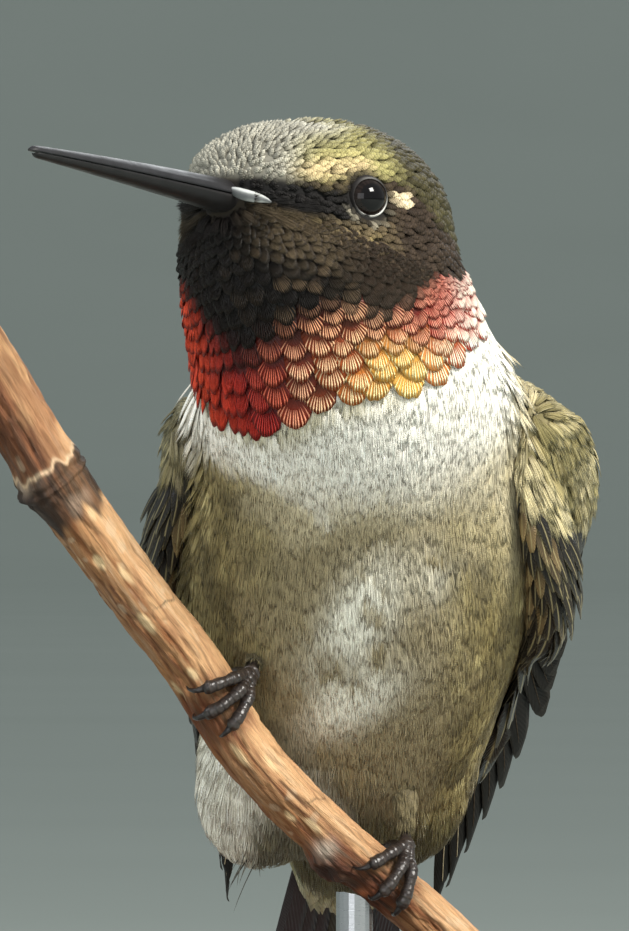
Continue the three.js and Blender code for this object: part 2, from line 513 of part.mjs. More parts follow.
// the rods end a gap under the branch, in a shallow saddle cut to its shape
function rodUnder(w) {
  const { g } = rod(w);
  const pts = [], rs = [];
  for (let i = -8; i <= 8; i++) { const q = perchAt(w + i * 0.5); pts.push(q.c); rs.push(q.r * 1.04 + GAP + (Math.abs(w - KNOT_W) < 4 ? 0.35 : 0.05)); }
  const saddle = solid(limb(pts, rs, 20));
  const block = solid(g).subtract(saddle);
  const parts = block.decompose().sort((a, b) => a.boundingBox().min[2] - b.boundingBox().min[2]);
  const mesh = parts[0].getMesh(), h = new THREE.BufferGeometry();
  h.setAttribute('position', new THREE.Float32BufferAttribute(mesh.vertProperties, 3)); h.setIndex(Array.from(mesh.triVerts));
  return h;
}
const ROD_LOW_W = nearW(2.2), ROD_HIGH_W = nearW(-18.25);

// ----------------------------------------------------------------- materials
const mat = (color, roughness, metalness = 0) => new THREE.MeshStandardMaterial({ color, roughness, metalness });
const M = {
  plumageHead: mat(0x4f5140, 0.75), plumageThroat: mat(0xa8381c, 0.45), plumageBody: mat(0x8a8270, 0.85),
  flight: mat(0x2c2a2b, 0.6), tail: mat(0x25242a, 0.55), bill: mat(0x1d1f24, 0.35), eye: mat(0x0b0908, 0.08),
  foot: mat(0x2a2624, 0.5), thigh: mat(0xb9b2a6, 0.9), bark: mat(0xa8683c, 0.85), stand: mat(0x2b2d30, 0.5), steel: mat(0x9a9ea3, 0.3, 1),
};

// ------------------------------------------------------------------ assembly
const group = new THREE.Group();
function add(name, geo, material) {
  geo.computeVertexNormals();
  const m = new THREE.Mesh(geo, material); m.name = name; group.add(m);
}
add('head', geometry(head), M.plumageHead);
add('neck', neck, M.plumageThroat);
add('trunk', trunk, M.plumageBody);
add('wing_left', wingLeft.geo, M.flight);
add('wing_right', wingRight.geo, M.flight);
add('tail', tail(), M.tail);
add('bill_upper', billUpper, M.bill);
add('bill_lower', billLower, M.bill);
add('eye_left', eyeGeometry(eyes.left, EYE_R, 14, 8), M.eye);
add('eye_right', eyeGeometry(eyes.right, EYE_R, 14, 8), M.eye);
add('leg_left', feet.left.leg, M.thigh);
add('leg_right', feet.right.leg, M.thigh);
add('foot_left', feet.left.foot, M.foot);
add('foot_right', feet.right.foot, M.foot);
add('perch', perch(), M.bark);
add('stand_base', base, M.stand);
add('stand_rod_lower', rodUnder(ROD_LOW_W), M.steel);
add('stand_rod_upper', rodUnder(ROD_HIGH_W), M.steel);

export default group;
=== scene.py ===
# The looks of a life-size ruby-throated hummingbird (adult male) on its perch
# and stand: plumage as real vanes and barbs over one skin, bill, eyes, feet,
# bark and stand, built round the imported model.
import math

import bpy
import numpy as np
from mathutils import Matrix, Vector


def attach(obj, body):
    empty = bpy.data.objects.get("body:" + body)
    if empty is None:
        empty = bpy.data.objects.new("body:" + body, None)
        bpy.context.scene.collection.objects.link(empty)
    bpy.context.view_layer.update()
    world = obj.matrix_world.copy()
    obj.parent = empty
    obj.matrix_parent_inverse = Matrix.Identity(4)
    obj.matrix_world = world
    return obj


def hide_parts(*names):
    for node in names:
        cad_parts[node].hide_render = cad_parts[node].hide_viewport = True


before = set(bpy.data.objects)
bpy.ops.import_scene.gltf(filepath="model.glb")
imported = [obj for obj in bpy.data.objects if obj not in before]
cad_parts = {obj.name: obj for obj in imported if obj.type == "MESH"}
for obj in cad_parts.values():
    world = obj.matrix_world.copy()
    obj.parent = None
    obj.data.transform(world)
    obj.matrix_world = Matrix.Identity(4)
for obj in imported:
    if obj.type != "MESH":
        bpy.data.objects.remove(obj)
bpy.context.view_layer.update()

# ------------------------------------------------------------------ geometry
# Millimetres here, metres when a mesh is made. The bird looks along -Y, its
# left side is +X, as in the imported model.
def rad(a):
    return a * math.pi / 180.0


def unit(v):
    v = np.asarray(v, float)
    return v / np.maximum(1e-12, np.sqrt((v * v).sum(-1, keepdims=True)))


def smooth(a, b, x):
    t = np.clip((np.asarray(x, float) - a) / (b - a), 0.0, 1.0)
    return t * t * (3 - 2 * t)


def lerp(a, b, t):
    return a + (b - a) * t


def bump(x, c, w):
    return np.exp(-((np.asarray(x, float) - c) / w) ** 2)


def axes(yaw, pitch):
    a, p = rad(yaw), rad(pitch)
    f = np.array([-math.sin(a) * math.cos(p), -math.cos(a) * math.cos(p), math.sin(p)])
    l = np.array([math.cos(a), -math.sin(a), 0.0])
    return f, l, np.cross(f, l)


Y0 = -11.0
HC = np.array([0.4, Y0, 64.0])
HF, HL, HU = axes(41, 9)


def head_point(f, l, u):
    return HC + HF * f + HL * l + HU * u


def head_coords(P):
    d = np.asarray(P, float) - HC
    return d @ HF, d @ HL, d @ HU


_cz, _sz = math.cos(rad(-3.5)), math.sin(rad(-3.5))
_cy, _sy = math.cos(rad(6.3)), math.sin(rad(6.3))
TRUNK_R = np.array([[_cz, -_sz, 0], [_sz, _cz, 0], [0, 0, 1]]) @ np.array([[_cy, 0, _sy], [0, 1, 0], [-_sy, 0, _cy]])
TRUNK_C = np.array([2.45, Y0 + 11.8, 45.0])


def trunk_point(x, y, z):
    return TRUNK_R @ np.array([x, y, z], float) + TRUNK_C


def trunk_dir(x, y, z):
    return unit(TRUNK_R @ np.array([x, y, z], float))


def trunk_coords(P):
    return (np.asarray(P, float) - TRUNK_C) @ TRUNK_R


_p52 = rad(52)
TF, TL, TU = trunk_dir(0, -math.cos(_p52), math.sin(_p52)), trunk_dir(1, 0, 0), trunk_dir(0, math.sin(_p52), math.cos(_p52))


def trunk_along(l, f, u):
    return TRUNK_C + TL * l + TF * f + TU * u


HA, TA = (HF, HL, HU), (TF, TL, TU)
BLOBS = [
    (head_point(-0.3, 0, 0.05), HA, (7.2, 6.15, 4.65), 0.0),
    (head_point(4.8, 0, 0.3), HA, (3.65, 4.35, 2.65), 2.0),
    (head_point(4.2, 0, -1.2), HA, (3.3, 2.3, 2.3), 1.6),
    (head_point(0.9, 0, -3.7), axes(38, 20), (6.9, 6.3, 4.2), 2.4),
    (np.array([0.75, Y0 + 0.9, 58.6]), axes(20, 0), (7.0, 7.35, 6.2), 3.0),
    (np.array([2.1, Y0 + 3.0, 53.8]), axes(6, 20), (7.8, 8.3, 6.5), 3.0),
    (trunk_along(0, 0.3, -0.9), TA, (16.2, 9.55, 7.7), 3.0),
    (trunk_along(0, -2.0, 2.6), TA, (13.5, 7.4, 6.0), 2.5),
    (trunk_along(0, -10.8, 0.6), TA, (9.6, 7.3, 6.3), 3.0),
    (trunk_point(3.2, 8.4, -12.6), TA, (4.6, 3.3, 3.2), 2.0),
    (trunk_point(-4.5, 8.2, -13.2), TA, (5.2, 3.5, 3.2), 2.0),
    (trunk_point(0, 12.4, -13.4), axes(-3.5, 46), (8.2, 3.4, 2.7), 2.4),
]
BLOBS = [(c, np.stack(A), np.array(r, float), k) for c, A, r, k in BLOBS]


def body(P):
    """How far outside the body's plumage a point is; below 0 inside."""
    P = np.asarray(P, float)
    d = None
    for c, A, r, k in BLOBS:
        q = ((P - c) @ A.T) / r
        k0 = np.sqrt((q * q).sum(-1))
        k1 = np.sqrt(((q / r) ** 2).sum(-1))
        e = np.where(k1 > 1e-9, k0 * (k0 - 1) / np.maximum(k1, 1e-9), -r.min())
        if d is None:
            d = e
        else:
            h = np.maximum(k - np.abs(d - e), 0) / k
            d = np.minimum(d, e) - h * h * k / 4
    return d


def grad(P, e=0.03):
    P = np.asarray(P, float)
    out = np.empty_like(P)
    for i in range(3):
        s = np.zeros(3)
        s[i] = e
        out[..., i] = (body(P + s) - body(P - s)) / (2 * e)
    return out


def settle(P, level=0.0, steps=3):
    """Points moved along the field to where it has the given level, and the normal there."""
    P = np.array(P, float)
    for _ in range(steps):
        g = grad(P)
        F = body(P) - level
        P = P - g * np.clip(F / np.maximum(1e-6, (g * g).sum(-1)), -0.8, 0.8)[..., None]
    return P, unit(grad(P))


def catmull(points, piece, w):
    """A centripetal Catmull-Rom curve through points: a place w (0..1) in each piece."""
    p = np.asarray(points, float)
    p = np.vstack([2 * p[0] - p[1], p, 2 * p[-1] - p[-2]])
    i = np.clip(np.asarray(piece), 0, len(p) - 4)
    a, b, c, d = p[i], p[i + 1], p[i + 2], p[i + 3]
    dt = lambda x, y: np.maximum(1e-4, ((x - y) ** 2).sum(-1) ** 0.25)[..., None]
    t0, t1, t2 = dt(a, b), dt(b, c), dt(c, d)
    m1 = ((b - a) / t0 - (c - a) / (t0 + t1) + (c - b) / t1) * t1
    m2 = ((c - b) / t1 - (d - b) / (t1 + t2) + (d - c) / t2) * t1
    w = np.asarray(w, float)[..., None]
    return b + m1 * w + (-3 * b + 3 * c - 2 * m1 - m2) * w * w + (2 * b - 2 * c + m1 + m2) * w ** 3


SPINE = np.array([
    [0.00, 0.35, Y0 + 0.6, 68.4, 0], [0.06, 0.40, Y0 + 0.6, 66.9, 0], [0.16, 0.50, Y0 + 0.6, 64.2, 2],
    [0.28, 0.75, Y0 + 0.9, 60.6, 8], [0.40, 1.50, Y0 + 2.4, 56.6, 18], [0.52, 2.25, Y0 + 5.9, 52.0, 32],
    [0.66, 2.45, Y0 + 11.0, 46.0, 38], [0.80, 2.00, Y0 + 16.6, 39.2, 40], [0.92, 1.30, Y0 + 22.2, 32.6, 46],
    [1.00, 0.75, Y0 + 27.2, 27.6, 48]])


def station(t):
    """The middle of the ring at t (0 crown, 1 tail root) and its across, upward and forward axes."""
    t = np.asarray(t, float)
    i = np.clip(np.searchsorted(SPINE[:, 0], t, side="left") - 1, 0, len(SPINE) - 2)
    u = np.clip((t - SPINE[i, 0]) / (SPINE[i + 1, 0] - SPINE[i, 0]), 0, 1)
    c = catmull(SPINE[:, 1:4], i, u)
    tilt = np.radians(lerp(SPINE[i, 4], SPINE[i + 1, 4], u))
    z = np.zeros_like(tilt)
    e1 = np.stack([z + 1, z, z], -1)
    e2 = np.stack([z, np.cos(tilt), np.sin(tilt)], -1)
    n = np.stack([z, -np.sin(tilt), np.cos(tilt)], -1)
    return c, e1, e2, n


def cast(c, d, level=0.0):
    """How far from c along d the body's surface (or the field's given level) lies."""
    c, d = np.broadcast_arrays(np.asarray(c, float), np.asarray(d, float))
    n = c.shape[:-1]
    a, b = np.zeros(n), np.full(n, -1.0)
    lev = np.broadcast_to(np.asarray(level, float), n)
    r = np.zeros(n)
    for _ in range(48):
        r = r + 0.42
        o = body(c + d * r[..., None]) > lev
        b = np.where((b < 0) & o, r, b)
        a = np.where(b < 0, r, a)
        if (b >= 0).all():
            break
    b = np.where(b < 0, r, b)
    for _ in range(15):
        m = (a + b) / 2
        o = body(c + d * m[..., None]) > lev
        b = np.where(o, m, b)
        a = np.where(o, a, m)
    return (a + b) / 2


def ring_point(t, phi, level=0.0):
    c, e1, e2, n = station(t)
    phi = np.asarray(phi, float)
    d = e1 * np.cos(phi)[..., None] + e2 * np.sin(phi)[..., None]
    return c + d * cast(c, d, level)[..., None]


_ts = np.linspace(0, 1, 241)
_tc, _, _, _tn = station(_ts)


def t_of(P):
    """The ring place t (0..1) whose plane holds a point, nearest by plane distance, and the ring angle."""
    P = np.asarray(P, float)
    flat = P.reshape(-1, 3)
    best = np.zeros(len(flat))
    phi = np.zeros(len(flat))
    for s in range(0, len(flat), 20000):
        q = flat[s:s + 20000]
        d = ((q[:, None, :] - _tc[None]) * _tn[None]).sum(-1)      # above (+) or below (-) each plane
        # the plane crossing: d goes from - at the crown's side to + at the tail's side
        sign = d > 0
        k = np.clip(sign.argmax(1), 1, len(_ts) - 1)
        k = np.where(sign.any(1), k, len(_ts) - 1)
        d0, d1 = d[np.arange(len(q)), k - 1], d[np.arange(len(q)), k]
        w = np.clip(-d0 / np.where(np.abs(d1 - d0) < 1e-9, 1e-9, d1 - d0), 0, 1)
        best[s:s + 20000] = lerp(_ts[k - 1], _ts[k], w)
    c, e1, e2, n = station(best)
    v = flat - c
    phi = np.arctan2((v * e2).sum(-1), (v * e1).sum(-1))
    return best.reshape(P.shape[:-1]), phi.reshape(P.shape[:-1])


def noise3(P, size, seed=0):
    """Smooth value noise, 0..1."""
    q = np.asarray(P, float) / size + seed * 17.31
    i = np.floor(q).astype(np.int64)
    f = q - i
    f = f * f * (3 - 2 * f)

    def h(dx, dy, dz):
        n = ((i[..., 0] + dx) * 374761393 + (i[..., 1] + dy) * 668265263 + (i[..., 2] + dz) * 1440670441 + seed * 974634777) & 0xFFFFFFFF
        n = ((n ^ (n >> 13)) * 1274126177) & 0xFFFFFFFF
        return ((n ^ (n >> 16)) & 0xFFFF) / 65535.0

    x, y, z = f[..., 0], f[..., 1], f[..., 2]
    return lerp(lerp(lerp(h(0, 0, 0), h(1, 0, 0), x), lerp(h(0, 1, 0), h(1, 1, 0), x), y),
                lerp(lerp(h(0, 0, 1), h(1, 0, 1), x), lerp(h(0, 1, 1), h(1, 1, 1), x), y), z)


def fbm(P, size, seed=0):
    return (noise3(P, size, seed) * 0.57 + noise3(P, size * 0.47, seed + 5) * 0.29 + noise3(P, size * 0.22, seed + 9) * 0.14)


# the eyes: ball centre and the direction each looks
EYE_R = 1.30


def eye_place(side):
    a = rad(22)
    n = unit(HL * side * math.cos(a) + HF * math.sin(a))
    start = head_point(2.40, 0, -0.05) - HF * 2.0
    return n, start + n * (float(cast(start, n)) - 0.90)


EYES = {"left": eye_place(1), "right": eye_place(-1)}
# ------------------------------------------------------------ mesh and nodes
MM = 0.001


def srgb(r, g, b):
    c = np.array([r, g, b], float) / 255.0
    return np.where(c <= 0.04045, c / 12.92, ((c + 0.055) / 1.055) ** 2.4)


def mix(a, b, w):
    w = np.asarray(w, float)[..., None]
    return a * (1 - w) + b * w


def make_mesh(name, verts, quads=None, tris=None, col=None, uv=None, fea=None, mat=None, shade=True, body_name="root", more=None):
    """A mesh piece from arrays: corners in mm, colours and map places for each corner point."""
    me = bpy.data.meshes.new(name)
    parts, starts, at = [], [], 0
    for a in (quads, tris):
        if a is not None and len(a):
            a = np.asarray(a, np.int64)
            parts.append(a.reshape(-1))
            starts.append(at + np.arange(len(a)) * a.shape[1])
            at += a.size
    loops, start = np.concatenate(parts).astype(np.int32), np.concatenate(starts).astype(np.int32)
    me.vertices.add(len(verts))
    me.vertices.foreach_set("co", (np.asarray(verts, np.float64) * MM).astype(np.float32).reshape(-1))
    me.loops.add(len(loops))
    me.polygons.add(len(start))
    me.loops.foreach_set("vertex_index", loops)
    me.polygons.foreach_set("loop_start", start)
    me.update(calc_edges=True)
    me.polygons.foreach_set("use_smooth", np.full(len(start), bool(shade)))
    if col is not None:
        c = np.ones((len(verts), 4), np.float32)
        c[:, :3] = np.clip(col, 0, 1)
        at = me.color_attributes.new("Col", "FLOAT_COLOR", "POINT")
        at.data.foreach_set("color", c.reshape(-1))
    if uv is not None:
        m = me.uv_layers.new(name="OFBake")
        m.data.foreach_set("uv", np.asarray(uv, np.float32)[loops].reshape(-1))
    if fea is not None:
        m = me.uv_layers.new(name="fea")
        m.data.foreach_set("uv", np.asarray(fea, np.float32)[loops].reshape(-1))
    ob = bpy.data.objects.new(name, me)
    bpy.context.scene.collection.objects.link(ob)
    if mat is not None:
        me.materials.append(mat)
    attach(ob, body_name)
    return ob


class Net:
    """A small writer of shader nodes."""

    def __init__(self, name):
        self.mat = bpy.data.materials.new(name)
        self.mat.use_nodes = True
        self.t = self.mat.node_tree
        self.t.nodes.clear()
        self.out = self.t.nodes.new("ShaderNodeOutputMaterial")
        self.bsdf = self.t.nodes.new("ShaderNodeBsdfPrincipled")
        self.t.links.new(self.bsdf.outputs[0], self.out.inputs[0])

    def new(self, kind, **kw):
        n = self.t.nodes.new(kind)
        for k, v in kw.items():
            setattr(n, k, v)
        return n

    def put(self, node, key, value):
        if isinstance(value, bpy.types.NodeSocket):
            self.t.links.new(value, node.inputs[key])
        else:
            node.inputs[key].default_value = value

    def set(self, **kw):
        names = {"color": "Base Color", "rough": "Roughness", "metal": "Metallic", "normal": "Normal", "sheen": "Sheen Weight",
                 "sheen_rough": "Sheen Roughness", "spec": "Specular IOR Level", "coat": "Coat Weight", "coat_rough": "Coat Roughness",
                 "sss": "Subsurface Weight", "sss_scale": "Subsurface Scale", "ior": "IOR", "trans": "Transmission Weight",
                 "sheen_tint": "Sheen Tint", "aniso": "Anisotropic"}
        for k, v in kw.items():
            self.put(self.bsdf, names[k], v)
        return self.mat

    def coords(self, kind="Object"):
        return self.new("ShaderNodeTexCoord").outputs[kind]

    def scaled(self, vec, s=(1, 1, 1), loc=(0, 0, 0), rot=(0, 0, 0)):
        n = self.new("ShaderNodeMapping")
        self.put(n, "Vector", vec)
        n.inputs["Scale"].default_value = s
        n.inputs["Location"].default_value = loc
        n.inputs["Rotation"].default_value = rot
        return n.outputs[0]

    def noise(self, vec, scale, detail=3, rough=0.55, out="Fac", distort=0.0):
        n = self.new("ShaderNodeTexNoise")
        self.put(n, "Vector", vec)
        n.inputs["Scale"].default_value = scale
        n.inputs["Detail"].default_value = detail
        n.inputs["Roughness"].default_value = rough
        n.inputs["Distortion"].default_value = distort
        return n.outputs[out]

    def voronoi(self, vec, scale, feature="F1", out="Distance", rand=1.0):
        n = self.new("ShaderNodeTexVoronoi", feature=feature)
        self.put(n, "Vector", vec)
        n.inputs["Scale"].default_value = scale
        n.inputs["Randomness"].default_value = rand
        return n.outputs[out]

    def math(self, op, a, b=0.0, c=None, clamp=False):
        n = self.new("ShaderNodeMath", operation=op, use_clamp=clamp)
        self.put(n, 0, a)
        self.put(n, 1, b)
        if c is not None:
            self.put(n, 2, c)
        return n.outputs[0]

    def ramp(self, fac, stops, interp="LINEAR"):
        n = self.new("ShaderNodeValToRGB")
        n.color_ramp.interpolation = interp
        e = n.color_ramp.elements
        while len(e) < len(stops):
            e.new(0.5)
        for i, (p, c) in enumerate(stops):
            e[i].position = p
            c = (c, c, c) if isinstance(c, (int, float)) else tuple(float(x) for x in c)
            e[i].color = (c[0], c[1], c[2], 1)
        self.put(n, "Fac", fac)
        return n.outputs["Color"]

    def mixc(self, a, b, fac, blend="MIX"):
        n = self.new("ShaderNodeMix", data_type="RGBA", blend_type=blend)
        self.put(n, 0, fac)
        for i, v in ((6, a), (7, b)):
            if isinstance(v, bpy.types.NodeSocket):
                self.t.links.new(v, n.inputs[i])
            else:
                v = tuple(float(x) for x in v)
                n.inputs[i].default_value = (v[0], v[1], v[2], 1)
        return n.outputs[2]

    def attr(self, name="Col"):
        return self.new("ShaderNodeAttribute", attribute_name=name).outputs["Color"]

    def bump(self, height, strength=0.5, dist=0.0001, normal=None):
        n = self.new("ShaderNodeBump")
        n.inputs["Strength"].default_value = strength
        n.inputs["Distance"].default_value = dist
        self.put(n, "Height", height)
        if normal is not None:
            self.put(n, "Normal", normal)
        return n.outputs[0]

    def fea(self):
        """Across (x) and along (y) one feather."""
        n = self.new("ShaderNodeUVMap", uv_map="fea")
        s = self.new("ShaderNodeSeparateXYZ")
        self.t.links.new(n.outputs[0], s.inputs[0])
        return s.outputs[0], s.outputs[1]


# ---------------------------------------------------------- feathers and barbs
def trace(P0, length, K, flow, level=0.0, D0=None):
    """Lines of K points that run from P0 along a flow over the body: points, normals and directions."""
    P = np.array(P0, float)
    L = np.broadcast_to(np.asarray(length, float), P.shape[:1])[:, None]
    pts, nrm, dirs = [], [], []
    N = unit(grad(P))
    for k in range(K):
        D = flow(P)
        if D0 is not None:
            D = D + D0
        D = unit(D - N * (D * N).sum(-1, keepdims=True))
        pts.append(P)
        nrm.append(N)
        dirs.append(D)
        if k + 1 < K:
            P = P + D * (L / (K - 1))
            g = grad(P)
            F = body(P) - level
            P = P - g * np.clip(F / np.maximum(1e-6, (g * g).sum(-1)), -0.6, 0.6)[:, None]
            N = unit(grad(P))
    return np.stack(pts, 1), np.stack(nrm, 1), np.stack(dirs, 1)


def along(A, s):
    """Values of A [T,K,3] at places s (0..1) [T,...] along each line."""
    T, K = A.shape[:2]
    s = np.clip(s, 0, 1) * (K - 1)
    i = np.clip(np.floor(s).astype(int), 0, K - 2)
    w = (s - i)[..., None]
    idx = np.arange(T).reshape((T,) + (1,) * (s.ndim - 1))
    return A[idx, i] * (1 - w) + A[idx, i + 1] * w


def patch_uv(root_uv, x, y):
    """Each tuft's own patch, 0.003 across, at its root's place on the unwrap."""
    r = np.clip(root_uv, 0.004, 0.996)
    r = r.reshape(r.shape[:1] + (1,) * (x.ndim - 1) + (2,))
    return r + 0.003 * np.stack([x, y], -1)


class Pile:
    """Corners, faces, colours and map places collected for one piece."""

    def __init__(self):
        self.v, self.q, self.t, self.c, self.u, self.f, self.n = [], [], [], [], [], [], 0

    def add(self, v, quads, tris, col, uv, fea):
        v = np.asarray(v, float).reshape(-1, 3)
        k = len(v)
        self.v.append(v)
        if quads is not None and len(quads):
            self.q.append(np.asarray(quads, np.int64) + self.n)
        if tris is not None and len(tris):
            self.t.append(np.asarray(tris, np.int64) + self.n)
        self.c.append(np.asarray(col, float).reshape(-1, 3))
        self.u.append(np.asarray(uv, float).reshape(-1, 2))
        self.f.append(np.asarray(fea, float).reshape(-1, 2))
        self.n += k

    def triangles(self):
        return sum(2 * len(a) for a in self.q) + sum(len(a) for a in self.t)

    def make(self, name, mat, slot, shade=True):
        return make_mesh(name, np.concatenate(self.v), np.concatenate(self.q) if self.q else None, np.concatenate(self.t) if self.t else None,
                         np.concatenate(self.c), np.concatenate(self.u), np.concatenate(self.f), mat, shade)


def strands(pile, pts, side, nrm, radius, col, uv, fea_x):
    """Closed three-sided barbs. pts, side, nrm [S,K,3]; radius [S,K]; col [S,K+?,3]; the last point is the tip."""
    S, K = pts.shape[:2]
    r = radius[..., None]
    a, b, c = pts - side * r, pts + side * r, pts + nrm * r * 1.1
    ring = np.stack([a, b, c], 2)[:, :K - 1]                 # S, K-1, 3, 3
    v = np.concatenate([ring.reshape(S, -1, 3), pts[:, K - 1:]], 1)
    nv = (K - 1) * 3 + 1
    q, t = [], []
    for k in range(K - 2):
        for j in range(3):
            m = (j + 1) % 3
            q.append([k * 3 + m, k * 3 + j, (k + 1) * 3 + j, (k + 1) * 3 + m])
    e = (K - 2) * 3
    for j in range(3):
        t.append([e + (j + 1) % 3, e + j, nv - 1])
    t.append([0, 1, 2])
    base = (np.arange(S) * nv)[:, None, None]
    cc = np.concatenate([np.repeat(col[:, :K - 1], 3, 1), col[:, K - 1:]], 1)
    uu = np.concatenate([np.repeat(uv[:, :K - 1], 3, 1), uv[:, K - 1:]], 1)
    s = np.broadcast_to(np.linspace(0, 1, K)[None], (S, K))
    fx = np.broadcast_to(np.asarray(fea_x)[:, None], (S, K))
    ff = np.stack([fx, s], -1)
    ff = np.concatenate([np.repeat(ff[:, :K - 1], 3, 1), ff[:, K - 1:]], 1)
    pile.add(v, (np.array(q)[None] + base).reshape(-1, 4) if q else None, (np.array(t)[None] + base).reshape(-1, 3), cc, uu, ff)


def vanes(pile, P, N, D, width, root_uv, colour, K=5, M=5, tip=0.35, base_w=0.35, h0=-0.3, h1=0.02, cup=0.12, thick=0.05,
          ragged=0.0, hpow=0.8, rng=None, tip_w=0.92, belly=0.5, taper=None, twist=0.0, one_sided=False):
    """Closed feathers that lie along traced lines. P, N, D [T,k,3]; width, half width in mm [T].
    colour(x, s) gives [T,K,M,3]. The tip is rounded by tip, and the sides are lowered by cup."""
    T = P.shape[0]
    S = unit(np.cross(D, N))
    x = np.linspace(-1, 1, M)[None, None, :]
    s = np.linspace(0, 1, K)[None, :, None]
    end = 1 - tip * np.abs(x) ** 2.3
    rag = np.zeros((T, 1, M))
    if ragged:
        rag = rng.uniform(-ragged, ragged * 0.4, (T, 1, M))
    ss = np.clip(s * (end + rag), 0, 1)                                  # T,K,M
    w = base_w + (1 - base_w) * smooth(0, belly, s)
    w = w * (1 - (1 - tip_w) * smooth(0.6, 1, s))
    if taper is not None:
        w = w * taper(s)
    xw = x * w * np.asarray(width).reshape(T, 1, 1)
    h0, h1 = np.asarray(h0, float).reshape(-1, 1, 1), np.asarray(h1, float).reshape(-1, 1, 1)
    h = h0 + (h1 - h0) * ss ** hpow - cup * np.asarray(width).reshape(T, 1, 1) * (x * x)
    if np.ndim(twist):
        h = h + np.asarray(twist).reshape(T, 1, 1) * x * ss
    Pc, Nc, Sc = along(P, ss), along(N, ss), along(S, ss)
    Nc, Sc = unit(Nc), unit(Sc)
    top = Pc + Sc * xw[..., None] + Nc * h[..., None]
    th = thick * (1 - 0.6 * s * np.ones_like(ss))
    low = top - Nc * th[..., None]
    col = colour(np.broadcast_to(x, ss.shape), np.broadcast_to(s, ss.shape))
    uvp = patch_uv(root_uv, np.broadcast_to(x * 0.5, ss.shape), np.broadcast_to(s - 0.5, ss.shape))
    fea = np.stack([np.broadcast_to(x, ss.shape), np.broadcast_to(s, ss.shape)], -1)
    g = np.arange(K * M).reshape(K, M)
    n = K * M
    q = []
    for k in range(K - 1):
        for m in range(M - 1):
            q.append([g[k, m], g[k, m + 1], g[k + 1, m + 1], g[k + 1, m]])
            q.append([n + g[k, m], n + g[k + 1, m], n + g[k + 1, m + 1], n + g[k, m + 1]])
    edge = list(g[0, :]) + list(g[1:, -1]) + list(g[-1, -2::-1]) + list(g[-2:0:-1, 0])
    for i, a in enumerate(edge):
        b = edge[(i + 1) % len(edge)]
        q.append([a, n + a, n + b, b])
    base = (np.arange(T) * 2 * n)[:, None, None]
    v = np.concatenate([top.reshape(T, n, 3), low.reshape(T, n, 3)], 1)
    rep = lambda a: np.concatenate([a.reshape(T, n, -1)] * 2, 1)
    pile.add(v, (np.array(q)[None] + base).reshape(-1, 4), None, rep(col), rep(uvp), rep(fea))
    return ss, xw, h, Sc


def uv_of(t, phi):
    return np.stack([(phi / (2 * math.pi)) % 1.0, t], -1)


def pick(points, radius, rng, order=None):
    """Indexes of points that keep at least their own radius from every one picked before."""
    pts = np.asarray(points)
    r = np.broadcast_to(np.asarray(radius, float), (len(pts),))
    cell = float(r.max())
    grid, keep = {}, []
    keys = np.floor(pts / cell).astype(int)
    idx = rng.permutation(len(pts)) if order is None else order
    P = pts.tolist()
    for i in idx:
        kx, ky, kz = keys[i]
        x, y, z = P[i]
        rr = r[i] * r[i]
        ok = True
        for dx in (-1, 0, 1):
            for dy in (-1, 0, 1):
                for dz in (-1, 0, 1):
                    for q in grid.get((kx + dx, ky + dy, kz + dz), ()):
                        if (q[0] - x) ** 2 + (q[1] - y) ** 2 + (q[2] - z) ** 2 < rr:
                            ok = False
                            break
                    if not ok:
                        break
                if not ok:
                    break
            if not ok:
                break
        if ok:
            grid.setdefault((kx, ky, kz), []).append((x, y, z))
            keep.append(i)
    return np.array(keep)
# ------------------------------------------------------------------ markings
# The bird's own markings as functions of places on its body: skin and coat
# both read them.
WHITE = srgb(250, 246, 236)
GREY_BELLY = srgb(208, 196, 166)
OLIVE_BELLY = srgb(162, 148, 114)
FLANK = srgb(150, 136, 92)
BACK_GREEN = srgb(76, 84, 38)
BACK_BRONZE = srgb(104, 94, 48)
RUMP = srgb(80, 92, 44)
VENT = srgb(250, 248, 236)
UNDERTAIL = srgb(104, 98, 62)
CROWN_GREY = srgb(158, 155, 141)
CROWN_OLIVE = srgb(165, 158, 103)
# pale painted sheen along the crown's edge over the eye
BROW_SHEEN = srgb(212, 190, 144)
NAPE = srgb(51, 46, 30)
FACE = srgb(119, 104, 76)
EARS = srgb(60, 49, 39)
BLACK = srgb(23, 21, 20)
CHIN = srgb(9, 8, 8)

GORGET_LOW = np.array([[-122, 58.4], [-100, 56.6], [-80, 54.6], [-53, 52.5], [-36, 51.6], [-8, 51.5], [8, 51.9], [24, 52.7], [42, 53.1], [60, 53.6], [74, 54.0],
                       [87, 55.5], [98, 56.4], [111, 57.4], [122, 58.8]])
GORGET_UP = np.array([[0, 64.2], [15, 63.4], [28, 62.6], [48, 61.4], [68, 60.4], [82, 59.7], [96, 59.5], [122, 60.2]])
GORGET_MID = -28.0


def neck_angle(P):
    """Degrees round the neck from the middle of the bib."""
    a = np.degrees(np.arctan2(P[..., 0] - 1.0, -(P[..., 1] - (Y0 + 1.3)))) - GORGET_MID
    return (a + 180) % 360 - 180


def gorget_field(P):
    """Height above the bib's lower edge and share of its height (0 at that edge, 1 at the cheek), and the angle."""
    q = neck_angle(P)
    low = np.interp(q, GORGET_LOW[:, 0], GORGET_LOW[:, 1])
    up = np.interp(np.abs(q), GORGET_UP[:, 0], GORGET_UP[:, 1])
    return P[..., 2] - low, (P[..., 2] - low) / np.maximum(0.5, up - low), q


def gorget_mask(P, soft=0.25):
    h, g, q = gorget_field(P)
    f = 1 - smooth(114, 122, np.abs(q))
    return f * smooth(-soft, soft, h) * (1 - smooth(1 - 0.06, 1 + 0.06, g))


EYE_HEAD = np.array([[float(x) for x in head_coords(EYES["left"][1] + EYES["left"][0] * 1.0)]])


